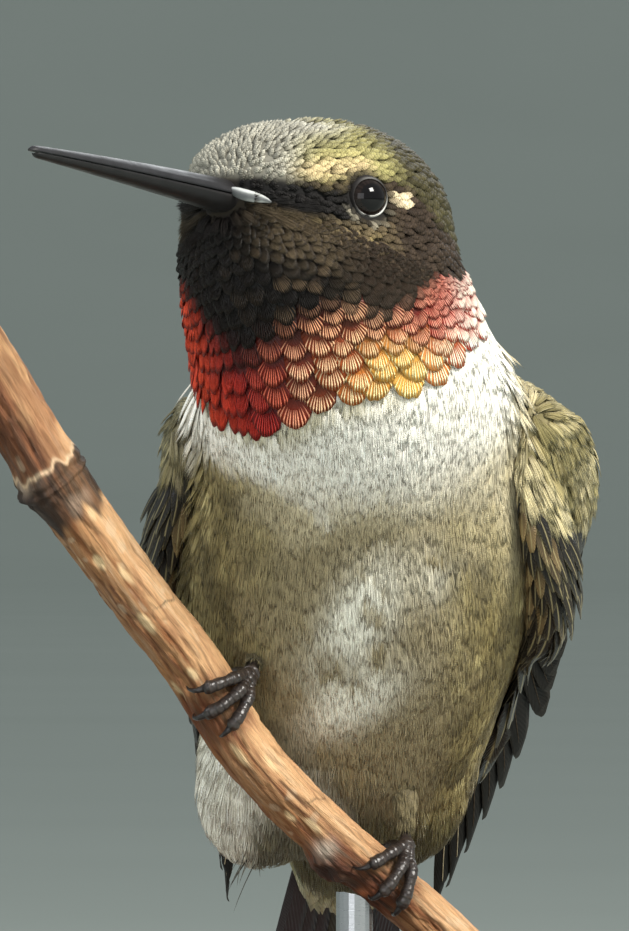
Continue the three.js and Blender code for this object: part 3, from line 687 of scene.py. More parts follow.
def face_marks(P):
    f, l, u = head_coords(P)
    L = np.abs(l)
    n1, n2, n3 = fbm(P, 1.5, 3), noise3(P, 0.45, 4), noise3(P, 0.9, 8)
    # the line that parts crown from face: gape, over the eye, to the nape
    line = np.interp(f, [-8, -5, -2.5, -0.5, 0.9, 3.0, 4.9, 6.5, 8.0], [-2.8, -1.6, -0.5, 0.75, 1.25, 1.15, 0.55, 0.15, 0.1])
    line = line + (n1 - 0.5) * 0.5
    crown = smooth(-0.25, 0.35, u - line)
    # crown: greyish in front, olive over the eye and behind; the olive is partly painted sheen, brightest in a band
    # over the eye and darker higher up
    olive = np.clip(smooth(2.2, 4.4, L) * smooth(7.5, 5.0, f) + smooth(3.4, 0.2, f + (n1 - 0.5) * 2), 0, 1)
    c_crown = mix(np.broadcast_to(CROWN_GREY, P.shape), CROWN_OLIVE, olive)
    n5 = noise3(P, 0.26, 14)
    c_crown = c_crown * (0.66 + 0.40 * n2 + 0.34 * n5)[..., None]
    # painted sheen: the olive darkened higher up, so it shows brightest over the eye
    c_crown = c_crown * (1 - 0.42 * smooth(0.8, 2.4, u - line) * olive)[..., None]
    # a pale band along the crown's edge over the eye: painted sheen
    brow_sheen = bump(u, line + 0.55, 0.55) * smooth(1.6, 2.8, f) * smooth(7.4, 5.6, f) * smooth(2.0, 3.4, L)
    c_crown = mix(c_crown, BROW_SHEEN, brow_sheen * 0.9)
    c_crown = mix(c_crown, NAPE * (0.75 + 0.5 * n2)[..., None], smooth(1.9, -0.8, f + (n1 - 0.5) * 1.2) * 0.92)
    # face and cheek
    c_face = mix(np.broadcast_to(FACE, P.shape), EARS, smooth(3.2, 0.6, f + (n1 - 0.5) * 1.5))
    speck = smooth(0.60, 0.80, n2) * smooth(7.5, 5.0, f) * smooth(1.2, 3.4, f)
    c_face = mix(c_face * (0.66 + 0.5 * n3)[..., None], srgb(150, 134, 88), speck * 0.55)
    dark = np.clip(smooth(5.2, 7.6, f + (n1 - 0.5) * 1.5) * smooth(2.0, -0.5, u), 0, 1)
    c_face = mix(c_face, CHIN, dark * 0.93)
    # black lores from the gape to the eye, and the dark ring round the eye
    yl = np.interp(f, [2.6, 4.0, 6.0, 8.5], [-0.15, -0.75, -0.75, -0.55])
    lores = bump(u, yl, np.interp(f, [2.5, 4.5, 8], [0.95, 0.95, 1.1])) * smooth(1.6, 2.8, f) * smooth(0.8, 1.8, L)
    de = np.sqrt((f - EYE_HEAD[0, 0]) ** 2 + (u - EYE_HEAD[0, 2]) ** 2 + (L - EYE_HEAD[0, 1]) ** 2 * 0.5)
    ring = smooth(1.95, 1.25, de + (n2 - 0.5) * 0.25)
    out = mix(c_face, c_crown, crown)
    out = mix(out, BLACK, np.clip(lores * 1.5, 0, 1) * (1 - 0.65 * crown))
    out = mix(out, BLACK, ring * 0.92)
    # white spot behind the eye, and the pale half ring below it
    spot = smooth(1.0, 0.6, np.sqrt(((f - 0.35) / 1.0) ** 2 + ((u - 0.22 - 0.18 * (f - 0.35)) / 0.50) ** 2)) * (L > 3)
    out = mix(out, srgb(232, 214, 176), spot * 0.95)
    under = bump(de, 1.60, 0.13) * smooth(-0.5, -1.0, u) * smooth(0.45, 0.62, n5 + 0.10) * (L > 3)
    out = mix(out, srgb(170, 162, 142), under * 0.6)
    return out


def trunk_marks(P, t, phi):
    n0, n1, n2, n3 = fbm(P, 5.0, 11), fbm(P, 2.0, 1), noise3(P, 0.7, 2), noise3(P, 0.35, 6)
    v = np.degrees(phi) + 90
    v = (v + 180) % 360 - 180
    a = np.abs(v)
    h, g, q = gorget_field(P)
    # belly: greyish in the middle, olive-brown outward
    c = mix(np.broadcast_to(GREY_BELLY, P.shape), OLIVE_BELLY, smooth(0.46, 0.60, t + (n1 - 0.5) * 0.08))
    n6 = fbm(P, 1.5, 15)
    X, Z = P[..., 0], P[..., 2]
    streak = bump(X - 2.3 - 0.45 * (Z - 40.8), 0, 1.8) * bump(Z, 40.8, 3.2) + bump(X - 2.1 - 0.9 * (Z - 36.4), 0, 1.9) * bump(Z, 36.4, 1.7) + bump(v, 30, 9) * bump(t, 0.62, 0.03) * 0.4
    streak = np.clip(streak * 1.25, 0, 1) * smooth(0.28, 0.52, n6 + 0.06) * smooth(70, 50, a)
    c = mix(c, srgb(250, 248, 234), streak * 0.95)
    # flanks mottled olive-bronze with small bright specks
    fl = smooth(26, 52, a + (n1 - 0.5) * 26) * smooth(0.40, 0.52, t)
    n4 = noise3(P * np.array([1, 1, 0.8]), 1.25, 9)
    cf = FLANK * (0.80 + 0.4 * n1)[..., None]
    cf = mix(cf, srgb(92, 82, 52), smooth(0.56, 0.30, n4) * 0.70)
    cf = mix(cf, srgb(208, 194, 142), smooth(0.64, 0.80, n2) * smooth(0.42, 0.62, n4) * 0.8)
    c = mix(c, cf, fl)
    # the breast fades from cream to olive down the front; the cream reaches further down on the sunlit side and is left
    # out on the shaded side, which is partly painted sunlight
    far = np.interp(v, [-40, 10, 50, 90], [12.0, 14.0, 19.0, 21.0])
    fade = (1 - smooth(far * 0.4, far, -h + (n1 - 0.5) * 4)) * smooth(-62, -30, v) * smooth(100, 84, a)
    c = mix(c, srgb(216, 204, 172) * (0.9 + 0.2 * n2)[..., None], fade * 0.85)
    # white collar below the bib
    wide = np.interp(v, [-110, -85, -50, -22, 0, 20, 40, 60, 76, 95], [5.5, 5.5, 3.8, 3.8, 6.6, 8.3, 9.0, 8.0, 5.4, 2.6])
    w = (1 - smooth(wide * 0.62, wide * 1.45, -h + (n1 - 0.5) * 2.4)) * smooth(104, 84, a + (n0 - 0.5) * 8)
    c = mix(c, WHITE, w)
    # a yellowish olive band just under the bib's edge, toward the shaded side: painted shadow of the bib
    c = mix(c, srgb(176, 164, 116), bump(h, -0.5, 0.6) * w * 0.6 * smooth(34, 8, v))
    # vent and thigh tufts white, further back under the flank of the bird's left
    vent = smooth(0.0, 0.07, t - np.interp(v, [-90, -10, 25, 90], [0.79, 0.81, 0.90, 0.93]) + (n1 - 0.5) * 0.05) * smooth(96, 70, a)
    c = mix(c, VENT, vent * 0.9)
    c = mix(c, UNDERTAIL, smooth(0.955, 0.985, t + (n2 - 0.5) * 0.02) * 0.8)
    olive_vent = smooth(-4.1, -2.7, P[..., 0] + (n1 - 0.5) * 1.2) * smooth(31.0, 28.6, P[..., 2] + (n1 - 0.5) * 1.5) * (1 - smooth(84, 100, a))
    c = mix(c, UNDERTAIL * (0.55 + 0.8 * n2)[..., None], olive_vent * 0.9)
    # green back
    c = mix(c, FACE * 0.5, smooth(0.35, 0.8, g) * (1 - smooth(112, 120, np.abs(q))))
    d = smooth(92, 112, a + (n1 - 0.5) * 16)
    cb = mix(np.broadcast_to(BACK_GREEN, P.shape), BACK_BRONZE, smooth(0.35, 0.75, n1))
    cb = mix(cb, RUMP, smooth(0.78, 0.95, t))
    cb = cb * (0.7 + 0.6 * n2)[..., None]
    c = mix(c, cb, d)
    return c * (0.93 + 0.14 * n3)[..., None]


def gorget_marks(P, lit_only=False):
    """The bib's ground colour and its barbs' colour, both carrying its iridescence as painted reflection: bright in the
    lit zone, dark with painted glints above it.
    """
    h, g, q = gorget_field(P)
    n1, n2 = fbm(P, 2.6, 21), noise3(P, 0.8, 22)
    edge = np.interp(q, [-122, -100, -80, -44, -38, -29, -19, -5, 3, 15, 29, 40, 50, 60, 68, 76, 90], [1.5, 1.1, 0.80, 0.74, 0.64, 0.44, 0.33, 0.29, 0.36, 0.46, 0.54, 0.54, 0.52, 0.60, 0.78, 0.95, 1.5])
    # the lit zone, where the scales carry their iridescent reflection painted bright; above it they are dark
    lit = 1 - smooth(edge - 0.10, edge + 0.10, g + (n1 - 0.5) * 0.16)
    # the painted reflection's colours by angle round the neck: red-orange at negative angles, gold to pinkish white at
    # positive ones
    keys = [-120, -75, -50, -32, -16, -2, 14, 36, 52, 66, 78, 92, 120]
    low_t = [(196, 60, 44), (214, 70, 44), (222, 76, 46), (214, 66, 48), (196, 50, 44), (234, 120, 92), (255, 200, 160), (255, 226, 178), (255, 238, 172), (255, 244, 180), (255, 244, 206), (255, 242, 226), (255, 232, 220)]
    high_t = [(206, 60, 40), (226, 74, 44), (230, 80, 46), (150, 46, 36), (110, 36, 30), (150, 62, 46), (240, 160, 120), (252, 194, 150), (252, 190, 150), (250, 172, 142), (248, 160, 138), (255, 222, 206), (255, 228, 214)]
    low_b = [(120, 22, 16), (140, 26, 16), (150, 30, 18), (128, 20, 18), (112, 16, 20), (112, 24, 16), (130, 48, 24), (170, 80, 32), (230, 164, 70), (238, 180, 86), (208, 120, 66), (176, 66, 46), (190, 72, 52)]
    high_b = [(120, 22, 16), (140, 28, 16), (140, 28, 16), (60, 16, 14), (46, 14, 13), (56, 19, 15), (84, 28, 18), (98, 32, 19), (112, 36, 22), (128, 38, 26), (144, 42, 32), (170, 52, 40), (180, 60, 44)]
    tab = lambda rows: np.stack([np.interp(q, keys, np.stack([srgb(*c) for c in rows])[:, i]) for i in range(3)], -1)
    hw = smooth(0.16, 0.46, g)
    ct, cb = mix(tab(low_t), tab(high_t), hw), mix(tab(low_b), tab(high_b), hw)
    # small painted glints on the dark scales above the lit zone
    glint = smooth(0.54, 0.78, n2) * smooth(0.9, 0.6, g) * smooth(0.30, 0.45, g + 0.1)
    dim_t, dim_b = mix(np.broadcast_to(srgb(24, 18, 15), P.shape), srgb(112, 92, 70), glint * smooth(-16, 4, q)), np.broadcast_to(srgb(17, 13, 12), P.shape)
    taupe = smooth(26, 44, q) * smooth(0.42, 0.56, g)
    cheek = np.maximum(smooth(0.66, 0.88, g + (n1 - 0.5) * 0.15) * smooth(-6, 16, q), taupe)
    dim_t, dim_b = mix(dim_t, mix(np.broadcast_to(srgb(104, 90, 68), P.shape) * (0.65 + 0.7 * n2)[..., None], srgb(66, 53, 42), taupe), cheek), mix(dim_b, srgb(62, 52, 42), cheek)
    return mix(dim_b, cb * (0.75 + 0.5 * n2)[..., None], lit), mix(dim_t, ct, lit), lit


def marks(P, t=None, phi=None):
    P = np.asarray(P, float)
    if t is None:
        t, phi = t_of(P)
    face, trunk = face_marks(P), trunk_marks(P, t, phi)
    h, g, q = gorget_field(P)
    aq = np.abs(q)
    # the head's colours end at the bib's upper edge in front, and pass into
    # the green of the nape behind
    edge = np.where(aq < 118, np.interp(aq, GORGET_UP[:, 0], GORGET_UP[:, 1]), 60.2)
    top = smooth(-0.3, 0.3, P[..., 2] - edge + np.where(aq > 112, (fbm(P, 2.0, 31) - 0.5) * 2, 0))
    out = mix(trunk, face, top)
    gb, gt, lit = gorget_marks(P)
    out = mix(out, mix(gb, gt, np.full(gb.shape[:-1], 0.45)), gorget_mask(P))
    return out
# ------------------------------------------------------------- skin and coat
RNG = np.random.default_rng(20240611)


def coat_depth(t, phi, P):
    """How far the skin lies under the tips of the feathers."""
    d = np.interp(t, [0, 0.22, 0.34, 0.5, 0.8, 0.92, 1.0], [0.28, 0.30, 0.42, 0.52, 0.56, 0.60, 0.55])
    v = np.abs((np.degrees(phi) + 270) % 360 - 180)
    h, _, _ = gorget_field(P)
    front = smooth(104, 92, v) * smooth(0.20, -0.30, h) * (t > 0.25)
    d = d * (1 - front) + 0.11 * front
    f, l, u = head_coords(P)
    return d - 0.14 * smooth(5.5, 7.2, f) * (t < 0.3)


def flow(P):
    """The lie of the coat: away from the bill over the head, back along the body."""
    t, _ = t_of(P)
    _, _, _, n = station(t)
    w = smooth(0.22, 0.42, t)[..., None]
    return unit(P - BILL_BASE) * (1 - w) - n * w


BILL_BASE = head_point(6.6, 0, -0.95)

# the body's grid: where feathers can root
NT, NP = 200, 168
_t = np.concatenate([np.linspace(0.0, 0.30, 70, endpoint=False), np.linspace(0.30, 1.0, NT - 70)])
_phi = np.linspace(-math.pi, math.pi, NP, endpoint=False)
GT, GP = np.meshgrid(_t, _phi, indexing="ij")
SURF = ring_point(GT, GP)
_c0, _, _, _n0 = station(np.array([0.0, 1.0]))
APEX_TOP = _c0[0] + _n0[0] * float(cast(_c0[0], _n0[0]))
APEX_END = _c0[1] - _n0[1] * max(0.2, float(cast(_c0[1], -_n0[1])))


def make_skin():
    depth = coat_depth(GT, GP, SURF)
    c, e1, e2, n = station(GT)
    d = e1 * np.cos(GP)[..., None] + e2 * np.sin(GP)[..., None]
    # step in from the plumage's surface along its normal by the coat's depth
    g = grad(SURF)
    P = SURF - unit(g) * depth[..., None]
    P = P - unit(g) * ((body(P) + depth) / np.maximum(0.3, np.sqrt((g * g).sum(-1))))[..., None] * 0.7
    # small folds where the neck turns under the head and along the flank
    fold = 0.05 * np.sin(GT * 160 + np.sin(GP * 2) * 1.5) * smooth(0.26, 0.32, GT) * smooth(0.44, 0.36, GT)
    P = P + unit(g) * fold[..., None]
    v = P.reshape(-1, 3)
    quads = []
    i = np.arange((NT - 1) * NP).reshape(NT - 1, NP)
    j = np.roll(i, -1, 1)
    q = np.stack([i, j, j + NP, i + NP], -1).reshape(-1, 4)
    top = APEX_TOP - np.array([0, 0, 0.3])
    end = APEX_END + _n0[1] * 0.4
    v = np.concatenate([v, top[None], end[None]])
    a, b = len(v) - 2, len(v) - 1
    k = np.arange(NP)
    t1 = np.stack([np.full(NP, a), (k + 1) % NP, k], -1)
    last = (NT - 1) * NP
    t2 = np.stack([np.full(NP, b), last + k, last + (k + 1) % NP], -1)
    tris = np.concatenate([t1, t2])
    # outward: the sum of signed volumes says which way the faces turn
    kk = region(SURF.reshape(-1, 3), GT.reshape(-1), GP.reshape(-1))
    # the skin is the markings darkened to 0.55 as painted shade in the gaps between the feathers, and lightened to 1.08
    # under breast, belly and vent
    col = marks(SURF.reshape(-1, 3), GT.reshape(-1), GP.reshape(-1)) * np.where((kk == 2) | (kk == 4), 1.08, 0.55)[:, None]
    col = np.concatenate([col, col[:1], col[-1:]])
    uv = np.concatenate([uv_of(GT.reshape(-1), GP.reshape(-1) * 0.999), [[0.5, 0.0], [0.5, 1.0]]])
    # lids: a low swelling ring round each eye, joined to the skin
    for side in ("left", "right"):
        en, ec = EYES[side]
        uax = unit(np.cross(en, [0, 0, 1.0]))
        vax = np.cross(uax, en)
        m, r = 56, 10
        ang = np.linspace(0, 2 * math.pi, m, endpoint=False)
        prof = np.linspace(0, 1, r)
        rows = []
        for e in prof:
            # from inside the ball's rim out to the skin
            rad_ = lerp(0.975, 1.30, e) + 0.012 * np.sin(ang * 2 + 1) * (1 - e)
            low = 0.06 * np.cos(ang - math.pi / 2)
            lift = 0.98 * math.sqrt(max(0, 1 - (0.92 / EYE_R) ** 2 * 0.9)) * EYE_R
            h = np.sqrt(np.maximum(0.05, (EYE_R + 0.035) ** 2 - np.minimum(rad_, 1.12) ** 2)) - smooth(0.42, 1, e) * 0.50 + 0.035 * math.sin(math.pi * min(1, e * 2.4))
            rows.append(ec + en * h[:, None] + uax * (rad_ * np.cos(ang))[:, None] + vax * (rad_ * np.sin(ang) * 1.02)[:, None])
        R = np.stack(rows)
        base = len(v)
        # the lid's underside closes it into a ring of its own
        v = np.concatenate([v, R.reshape(-1, 3), (R[::-1] - en * 0.10).reshape(-1, 3)])
        i2 = np.arange(2 * r * m).reshape(2 * r, m)
        j2 = np.roll(i2, -1, 1)
        q2 = np.stack([i2, np.roll(i2, -1, 0), np.roll(j2, -1, 0), j2], -1).reshape(-1, 4) + base
        q = np.concatenate([q, q2])
        aa = np.tile(ang, r) if side == "left" else math.pi - np.tile(ang, r)
        at = lambda a0, sp: np.exp(-(np.arctan2(np.sin(aa - rad(a0)), np.cos(aa - rad(a0))) / rad(sp)) ** 2)
        lip = np.repeat(smooth(0.46, 0.22, prof), m)
        pale = (at(228, 34) * 0.95 + at(285, 26) * 0.6 + at(95, 34) * 0.12) * lip * smooth(0.25, 0.45, noise3(R.reshape(-1, 3), 0.22, 77) + 0.12 + 0.3 * at(228, 30))
        lc = mix(np.broadcast_to(srgb(30, 27, 26), (m * r, 3)), srgb(226, 224, 218), np.clip(pale, 0, 1))
        col = np.concatenate([col, lc, lc.reshape(r, m, 3)[::-1].reshape(-1, 3)])
        tt, pp = t_of(R.reshape(-1, 3))
        lu = uv_of(tt, pp)
        uv = np.concatenate([uv, lu, lu.reshape(r, m, 2)[::-1].reshape(-1, 2)])
    # faces outward
    P0, P1, P2 = v[q[:20000, 0]], v[q[:20000, 1]], v[q[:20000, 2]]
    if (np.cross(P1 - P0, P2 - P0) * (P0 - TRUNK_C)).sum() < 0:
        q, tris = q[:, ::-1], tris[:, ::-1]
    n = Net("skin")
    c = n.attr()
    o = n.coords()
    f1 = n.noise(o, 900, 4, 0.6)
    c = n.mixc(c, n.ramp(f1, [(0.3, 0.55), (0.7, 1.15)]), 0.6, "MULTIPLY")
    m_ = n.set(color=c, rough=0.8, spec=0.25, normal=n.bump(n.noise(o, 4200, 3), 0.5, 0.00006))
    sk = make_mesh("skin", v, q, tris, col, uv, None, m_)
    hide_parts("head", "neck", "trunk", "leg_left", "leg_right")
    return sk


# candidate roots spread evenly by area
def candidates(n, rng):
    A = SURF
    B = np.roll(A, -1, 1)
    a, b, c = A[:-1], B[:-1], A[1:]
    area = np.sqrt((np.cross(b - a, c - a) ** 2).sum(-1)).reshape(-1)
    k = rng.choice(len(area), n, p=area / area.sum())
    i, j = k // NP, k % NP
    w1, w2 = rng.random(n), rng.random(n)
    t = lerp(_t[i], _t[np.minimum(i + 1, NT - 1)], w1)
    dphi = 2 * math.pi / NP
    phi = _phi[j] + dphi * w2
    j2 = (j + 1) % NP
    P = (lerp(1, 0, w1) * lerp(1, 0, w2))[:, None] * A[i, j] + ((1 - w1) * w2)[:, None] * A[i, j2] + (w1 * (1 - w2))[:, None] * A[i + 1, j] + (w1 * w2)[:, None] * A[i + 1, j2]
    return P, t, phi


def region(P, t, phi):
    """Kind of plumage at each place: 0 head, 1 bib, 2 breast and belly, 3 back, 4 vent."""
    v = np.degrees(phi) + 90
    v = (v + 180) % 360 - 180
    a = np.abs(v)
    h, g, q = gorget_field(P)
    aq = np.abs(q)
    edge = np.where(aq < 118, np.interp(aq, GORGET_UP[:, 0], GORGET_UP[:, 1]), 60.6)
    k = np.full(P.shape[:-1], 2)
    k[a > 97] = 3
    k[(t > 0.865) & (a < 92)] = 4
    k[(t > 0.80) & (a < 92) & (v < 10) & (t > 0.80)] = 4
    k[(aq < 118) & (h > 0.0) & (g <= 1.0)] = 1
    k[P[..., 2] > edge - 0.55 * (aq < 118)] = 0
    return k


def off_eyes(P, r=1.10):
    ok = np.ones(len(P), bool)
    for side in ("left", "right"):
        en, ec = EYES[side]
        d = P - ec
        ax = d @ en
        rr = np.sqrt(np.maximum(0, (d * d).sum(-1) - ax * ax))
        ok &= ~((rr < r) & (ax > 0))
    return ok


def off_bill(P, grow=0.0):
    f, l, u = head_coords(P)
    return ~((f > 6.7) & (np.sqrt((l / 1.36) ** 2 + ((u + 0.95) / 0.90) ** 2) < 1.0 + grow))


def away_from_eyes(P, D):
    """Near an eye the lie bends round it, so that no feather crosses the ball."""
    for side in ("left", "right"):
        en, ec = EYES[side]
        d = P - ec
        ax = (d @ en)[:, None]
        r = d - en * ax
        rr = np.sqrt((r * r).sum(-1, keepdims=True))
        near = smooth(2.3, 1.0, rr) * (ax > 0)
        ro = r / np.maximum(rr, 1e-6)
        inward = np.minimum(0, (D * ro).sum(-1, keepdims=True))
        D = D - ro * inward * near * 1.25 + ro * near * 0.25
    return unit(D)


def coat_flow(P):
    return away_from_eyes(P, flow(P))


def shade_col(c, amount):
    """Each feather a little lighter or darker, warmer or cooler than the next."""
    return c * amount


def plumage_material(name, rough=0.62, sheen=0.0, spec=0.35, barbs=90.0, barb_slope=3.0, barb_depth=0.25, noise_scale=2600, dark=0.75, light=1.18, metal=0.0, rachis=0.0,
                     bump_d=0.00004, coat=0.0):
    """Feather shading: colour from the markings, fine barbs across each vane, and a little noise."""
    n = Net(name)
    c = n.attr()
    o = n.coords()
    f = n.noise(o, noise_scale, 3, 0.6)
    c = n.mixc(c, n.ramp(f, [(0.32, dark), (0.68, light)]), 0.55, "MULTIPLY")
    x, s = n.fea()
    ax = n.math("ABSOLUTE", x)
    ph = n.math("MULTIPLY", n.math("SUBTRACT", s, n.math("MULTIPLY", ax, 1.0 / barb_slope)), barbs)
    w = n.math("SINE", ph)
    w01 = n.math("MULTIPLY_ADD", w, 0.5, 0.5)
    if barb_depth:
        c = n.mixc(c, n.ramp(w01, [(0.0, 1 - barb_depth), (0.6, 1.0 + barb_depth * 0.3)]), 1.0, "MULTIPLY")
    if rachis:
        r = n.ramp(ax, [(0.0, rachis), (0.09, rachis * 0.5), (0.16, 0.0)])
        c = n.mixc(c, srgb(190, 176, 130), r)
    n.set(color=c, rough=rough, spec=spec, metal=metal, normal=n.bump(w01, 0.6, bump_d))
    if sheen:
        n.set(sheen=sheen, sheen_rough=0.4)
    if coat:
        n.set(coat=coat, coat_rough=0.25)
    return n.mat
# ------------------------------------------------------------------ the coat
def hair_tufts(name, P, t, phi, mat, slot, length, width, n_str, radius, rng, lines=None, colour=None, uvr=None, h0=-0.45, h1=0.0, spread=0.35, curl=0.0, K=4, limit=186000, frizz=0.0, tip_pale=1.12,
               root_dark=0.5, lift_noise=0.10, flat=0.25, tone_t=0.10, tone_s=0.14, lay=0.06, taper=0.55, hpow=0.7):
    """Loose feathers as fans of fine barbs, along the coat's lie or along lines given."""
    per = (K - 2) * 6 + 4
    n_tuft = max(1, int(limit / (per * n_str)))
    made = []
    arr = lambda a: np.broadcast_to(np.asarray(a, float), (len(P),))
    length, width, radius, h1, curl, h0 = arr(length), arr(width), arr(radius), arr(h1), arr(curl), arr(h0)
    for part, s in enumerate(range(0, len(P), n_tuft)):
        e = slice(s, s + n_tuft)
        p = P[e]
        T = len(p)
        W = width[e]
        if lines is None:
            L = length[e] * rng.uniform(0.85, 1.15, T)
            pts, nrm, dirs = trace(p, L, 4, coat_flow, D0=rng.normal(0, lay, (T, 3)))
        else:
            pts, nrm, dirs = (a[e] for a in lines)
        side = unit(np.cross(dirs, nrm))
        J = n_str
        a = np.linspace(-1, 1, J)[None] + rng.uniform(-0.6 / J, 0.6 / J, (T, J))
        lf = (1 - 0.22 * np.abs(a) ** 2) * rng.uniform(0.86, 1.06, (T, J))          # each barb's reach
        sk = np.linspace(0, 1, K)[None, None]
        ss = sk * lf[..., None]                                                     # T,J,K
        c, nn, sd = along(pts, ss), unit(along(nrm, ss)), unit(along(side, ss))
        off = a[..., None] * W[:, None, None] * (spread + (1 - spread) * ss) + frizz * rng.normal(0, 1, (T, J, 1)) * ss ** 2
        tuft_h = rng.uniform(-lift_noise, lift_noise, T)[:, None, None]
        hb = h0[e][:, None, None]
        h = hb + (h1[e][:, None, None] - hb) * ss ** hpow + tuft_h * ss - flat * off ** 2 / np.maximum(0.2, W[:, None, None]) + rng.normal(0, 0.016, (T, J, 1))
        h = h + curl[e][:, None, None] * ss ** 2
        q = c + sd * off[..., None] + nn * h[..., None]
        # colours read at the places where the tips lie
        if colour is None:
            col = marks((c[:, :, -1] + sd[:, :, -1] * off[:, :, -1, None]).reshape(-1, 3)).reshape(T, J, 1, 3)
        else:
            col = colour(q[:, :, -1], s, e)[:, :, None, :]
        tone = rng.uniform(1 - tone_t, 1 + tone_t, (T, 1, 1)) * rng.uniform(1 - tone_s, 1 + tone_s, (T, J, 1))
        grade = root_dark + (tip_pale - root_dark) * sk ** 0.8
        colk = col * (tone * grade)[..., None]
        r = radius[e][:, None, None] * (1.0 - taper * sk ** 1.5) * (0.5 + 0.5 * smooth(0.0, 0.3, sk)) * rng.uniform(0.8, 1.2, (T, J, 1)) * np.ones_like(ss)
        ur = uv_of(t[e], phi[e]) if uvr is None else uvr[e]
        uv = patch_uv(ur, np.broadcast_to(a[..., None] * 0.5, ss.shape), np.broadcast_to(sk - 0.5, ss.shape))
        pile = Pile()
        f = lambda A: A.reshape(T * J, K, -1)
        strands(pile, f(q), f(sd), f(nn), r.reshape(T * J, K), f(np.broadcast_to(colk, (T, J, K, 3))), f(uv), a.reshape(-1))
        made.append(pile.make("%s_%d" % (name, part + 1), mat, slot))
    return made


def make_coat():
    rng = np.random.default_rng(7)
    N0 = 60000
    P, t, phi = candidates(N0, rng)
    # the cap of the crown, above the first ring of the grid
    nc = 1100
    c0, e10, e20, n0 = station(np.zeros(nc))
    ct, pc0 = rng.uniform(0.02, 1.0, nc), rng.uniform(-math.pi, math.pi, nc)
    st = np.sqrt(1 - ct ** 2)
    dc = n0 * ct[:, None] + (e10 * np.cos(pc0)[:, None] + e20 * np.sin(pc0)[:, None]) * st[:, None]
    P = np.concatenate([P, c0 + dc * cast(c0, dc)[:, None]])
    t, phi = np.concatenate([t, np.full(nc, 0.001)]), np.concatenate([phi, pc0])
    ok = off_eyes(P) & off_bill(P) & (t < 0.992)
    P, t, phi = P[ok], t[ok], phi[ok]
    P, _ = settle(P, 0.0, 1)
    k = region(P, t, phi)
    f, l, u = head_coords(P)

    # ---- head: tiny overlapping scales, smallest round the bill and eyes
    rng = np.random.default_rng(11)
    m = k == 0
    p, tt, pp = P[m], t[m], phi[m]
    fm, lm, um = f[m], l[m], u[m]
    de = np.minimum.reduce([np.sqrt(((p - (EYES[s][1] + EYES[s][0])) ** 2).sum(-1)) for s in EYES])
    size = 0.205 + 0.075 * smooth(4.5, 0.0, fm) + 0.10 * smooth(0, -5, fm)
    size = size * (1 - 0.20 * smooth(2.2, 1.1, de)) * (1 - 0.12 * smooth(6.2, 7.6, fm))
    kk = pick(p, size, rng)
    p, tt, pp, size = p[kk], tt[kk], pp[kk], size[kk]
    pts, nrm, dirs = trace(p, size * 3.3, 4, coat_flow, D0=rng.normal(0, 0.10, (len(p), 3)))
    mc = marks(pts[:, 2])
    tone = rng.uniform(0.78, 1.2, len(p))[:, None, None, None]
    fz, lz, uz = head_coords(p)
    fore = 0.16 * smooth(2.5, 6.5, fz) * smooth(0.2, 1.6, uz) + 0.05 * smooth(2.0, 5.0, uz)

    def head_col(x, s):
        g = 0.62 + 0.46 * smooth(0.15, 0.95, s)
        edge = 1 - 0.15 * np.abs(x) ** 2
        return mc[:, None, None, :] * (g * edge)[..., None] * tone

    # dark plumes under the bill's base
    mch = (k == 0) & (f > 6.2) & (u < -1.0) & (u > -3.6)
    pc, tc, phc = P[mch], t[mch], phi[mch]
    kc = pick(pc, np.full(len(pc), 0.30), rng)
    fu = head_coords(pc[kc])
    hair_tufts("chin", pc[kc], tc[kc], phc[kc], plumage_material("chin_plumes", rough=0.6, spec=0.2, barb_depth=0.0, noise_scale=2200, dark=0.8, light=1.2), "plumage_head", 1.25, 0.34, 9, 0.036, rng, h0=-0.20, h1=0.12 + 0.50 * smooth(6.8, 8.0, fu[0]) * smooth(-3.0, -1.8, fu[2]), root_dark=0.7, tip_pale=1.2, spread=0.5)
    pile = Pile()
    vanes(pile, pts, nrm, dirs, size * 0.84, uv_of(tt, pp), head_col, K=4, M=3, tip=0.30, base_w=0.4, h0=-0.22, h1=rng.uniform(0.0, 0.06, len(p)) + fore, cup=0.12, thick=0.03, ragged=0.16, rng=rng)
    print("coat_head", len(p), pile.triangles())
    pile.make("coat_head", plumage_material("feather_head", rough=0.62, spec=0.14, barbs=26, barb_slope=2.2, barb_depth=0.28, noise_scale=5200), "plumage_head")

    # ---- the bib: fans in staggered rows, larger downward
    rng = np.random.default_rng(13)
    make_gorget(rng)

    # ---- breast and belly: fine loose barbs
    rng = np.random.default_rng(17)
    hb, _, _ = gorget_field(P)
    m = (k == 2) | ((k == 1) & (hb < 1.5))
    p, tt, pp = P[m], t[m], phi[m]
    va = np.abs((np.degrees(pp) + 270) % 360 - 180)
    size = np.interp(tt, [0.3, 0.45, 0.6, 0.85], [0.27, 0.30, 0.34, 0.38])
    kk = pick(p, size, rng)
    p, tt, pp, size, va = p[kk], tt[kk], pp[kk], size[kk], va[kk]
    # beside the wing the feathers stand out a little and lap over its edge
    near = smooth(66, 84, va) * smooth(0.36, 0.44, tt) * smooth(0.80, 0.66, tt)
    out = near * rng.uniform(0.2, 1.5, len(p))
    mat = plumage_material("feather_soft", rough=0.72, spec=0.2, barb_depth=0.0, noise_scale=1500, dark=0.92, light=1.06, sheen=0.15)
    mb = region(p, tt, pp) == 1
    low = gorget_field(p)[0] < 0.55

    def breast_col(Q, s, e):
        Z = Q.reshape(-1, 3)
        a_, b_ = t_of(Z)
        return np.where(np.repeat(mb[e], Q.shape[1])[:, None], trunk_marks(Z, a_, b_), marks(Z, a_, b_)).reshape(Q.shape)

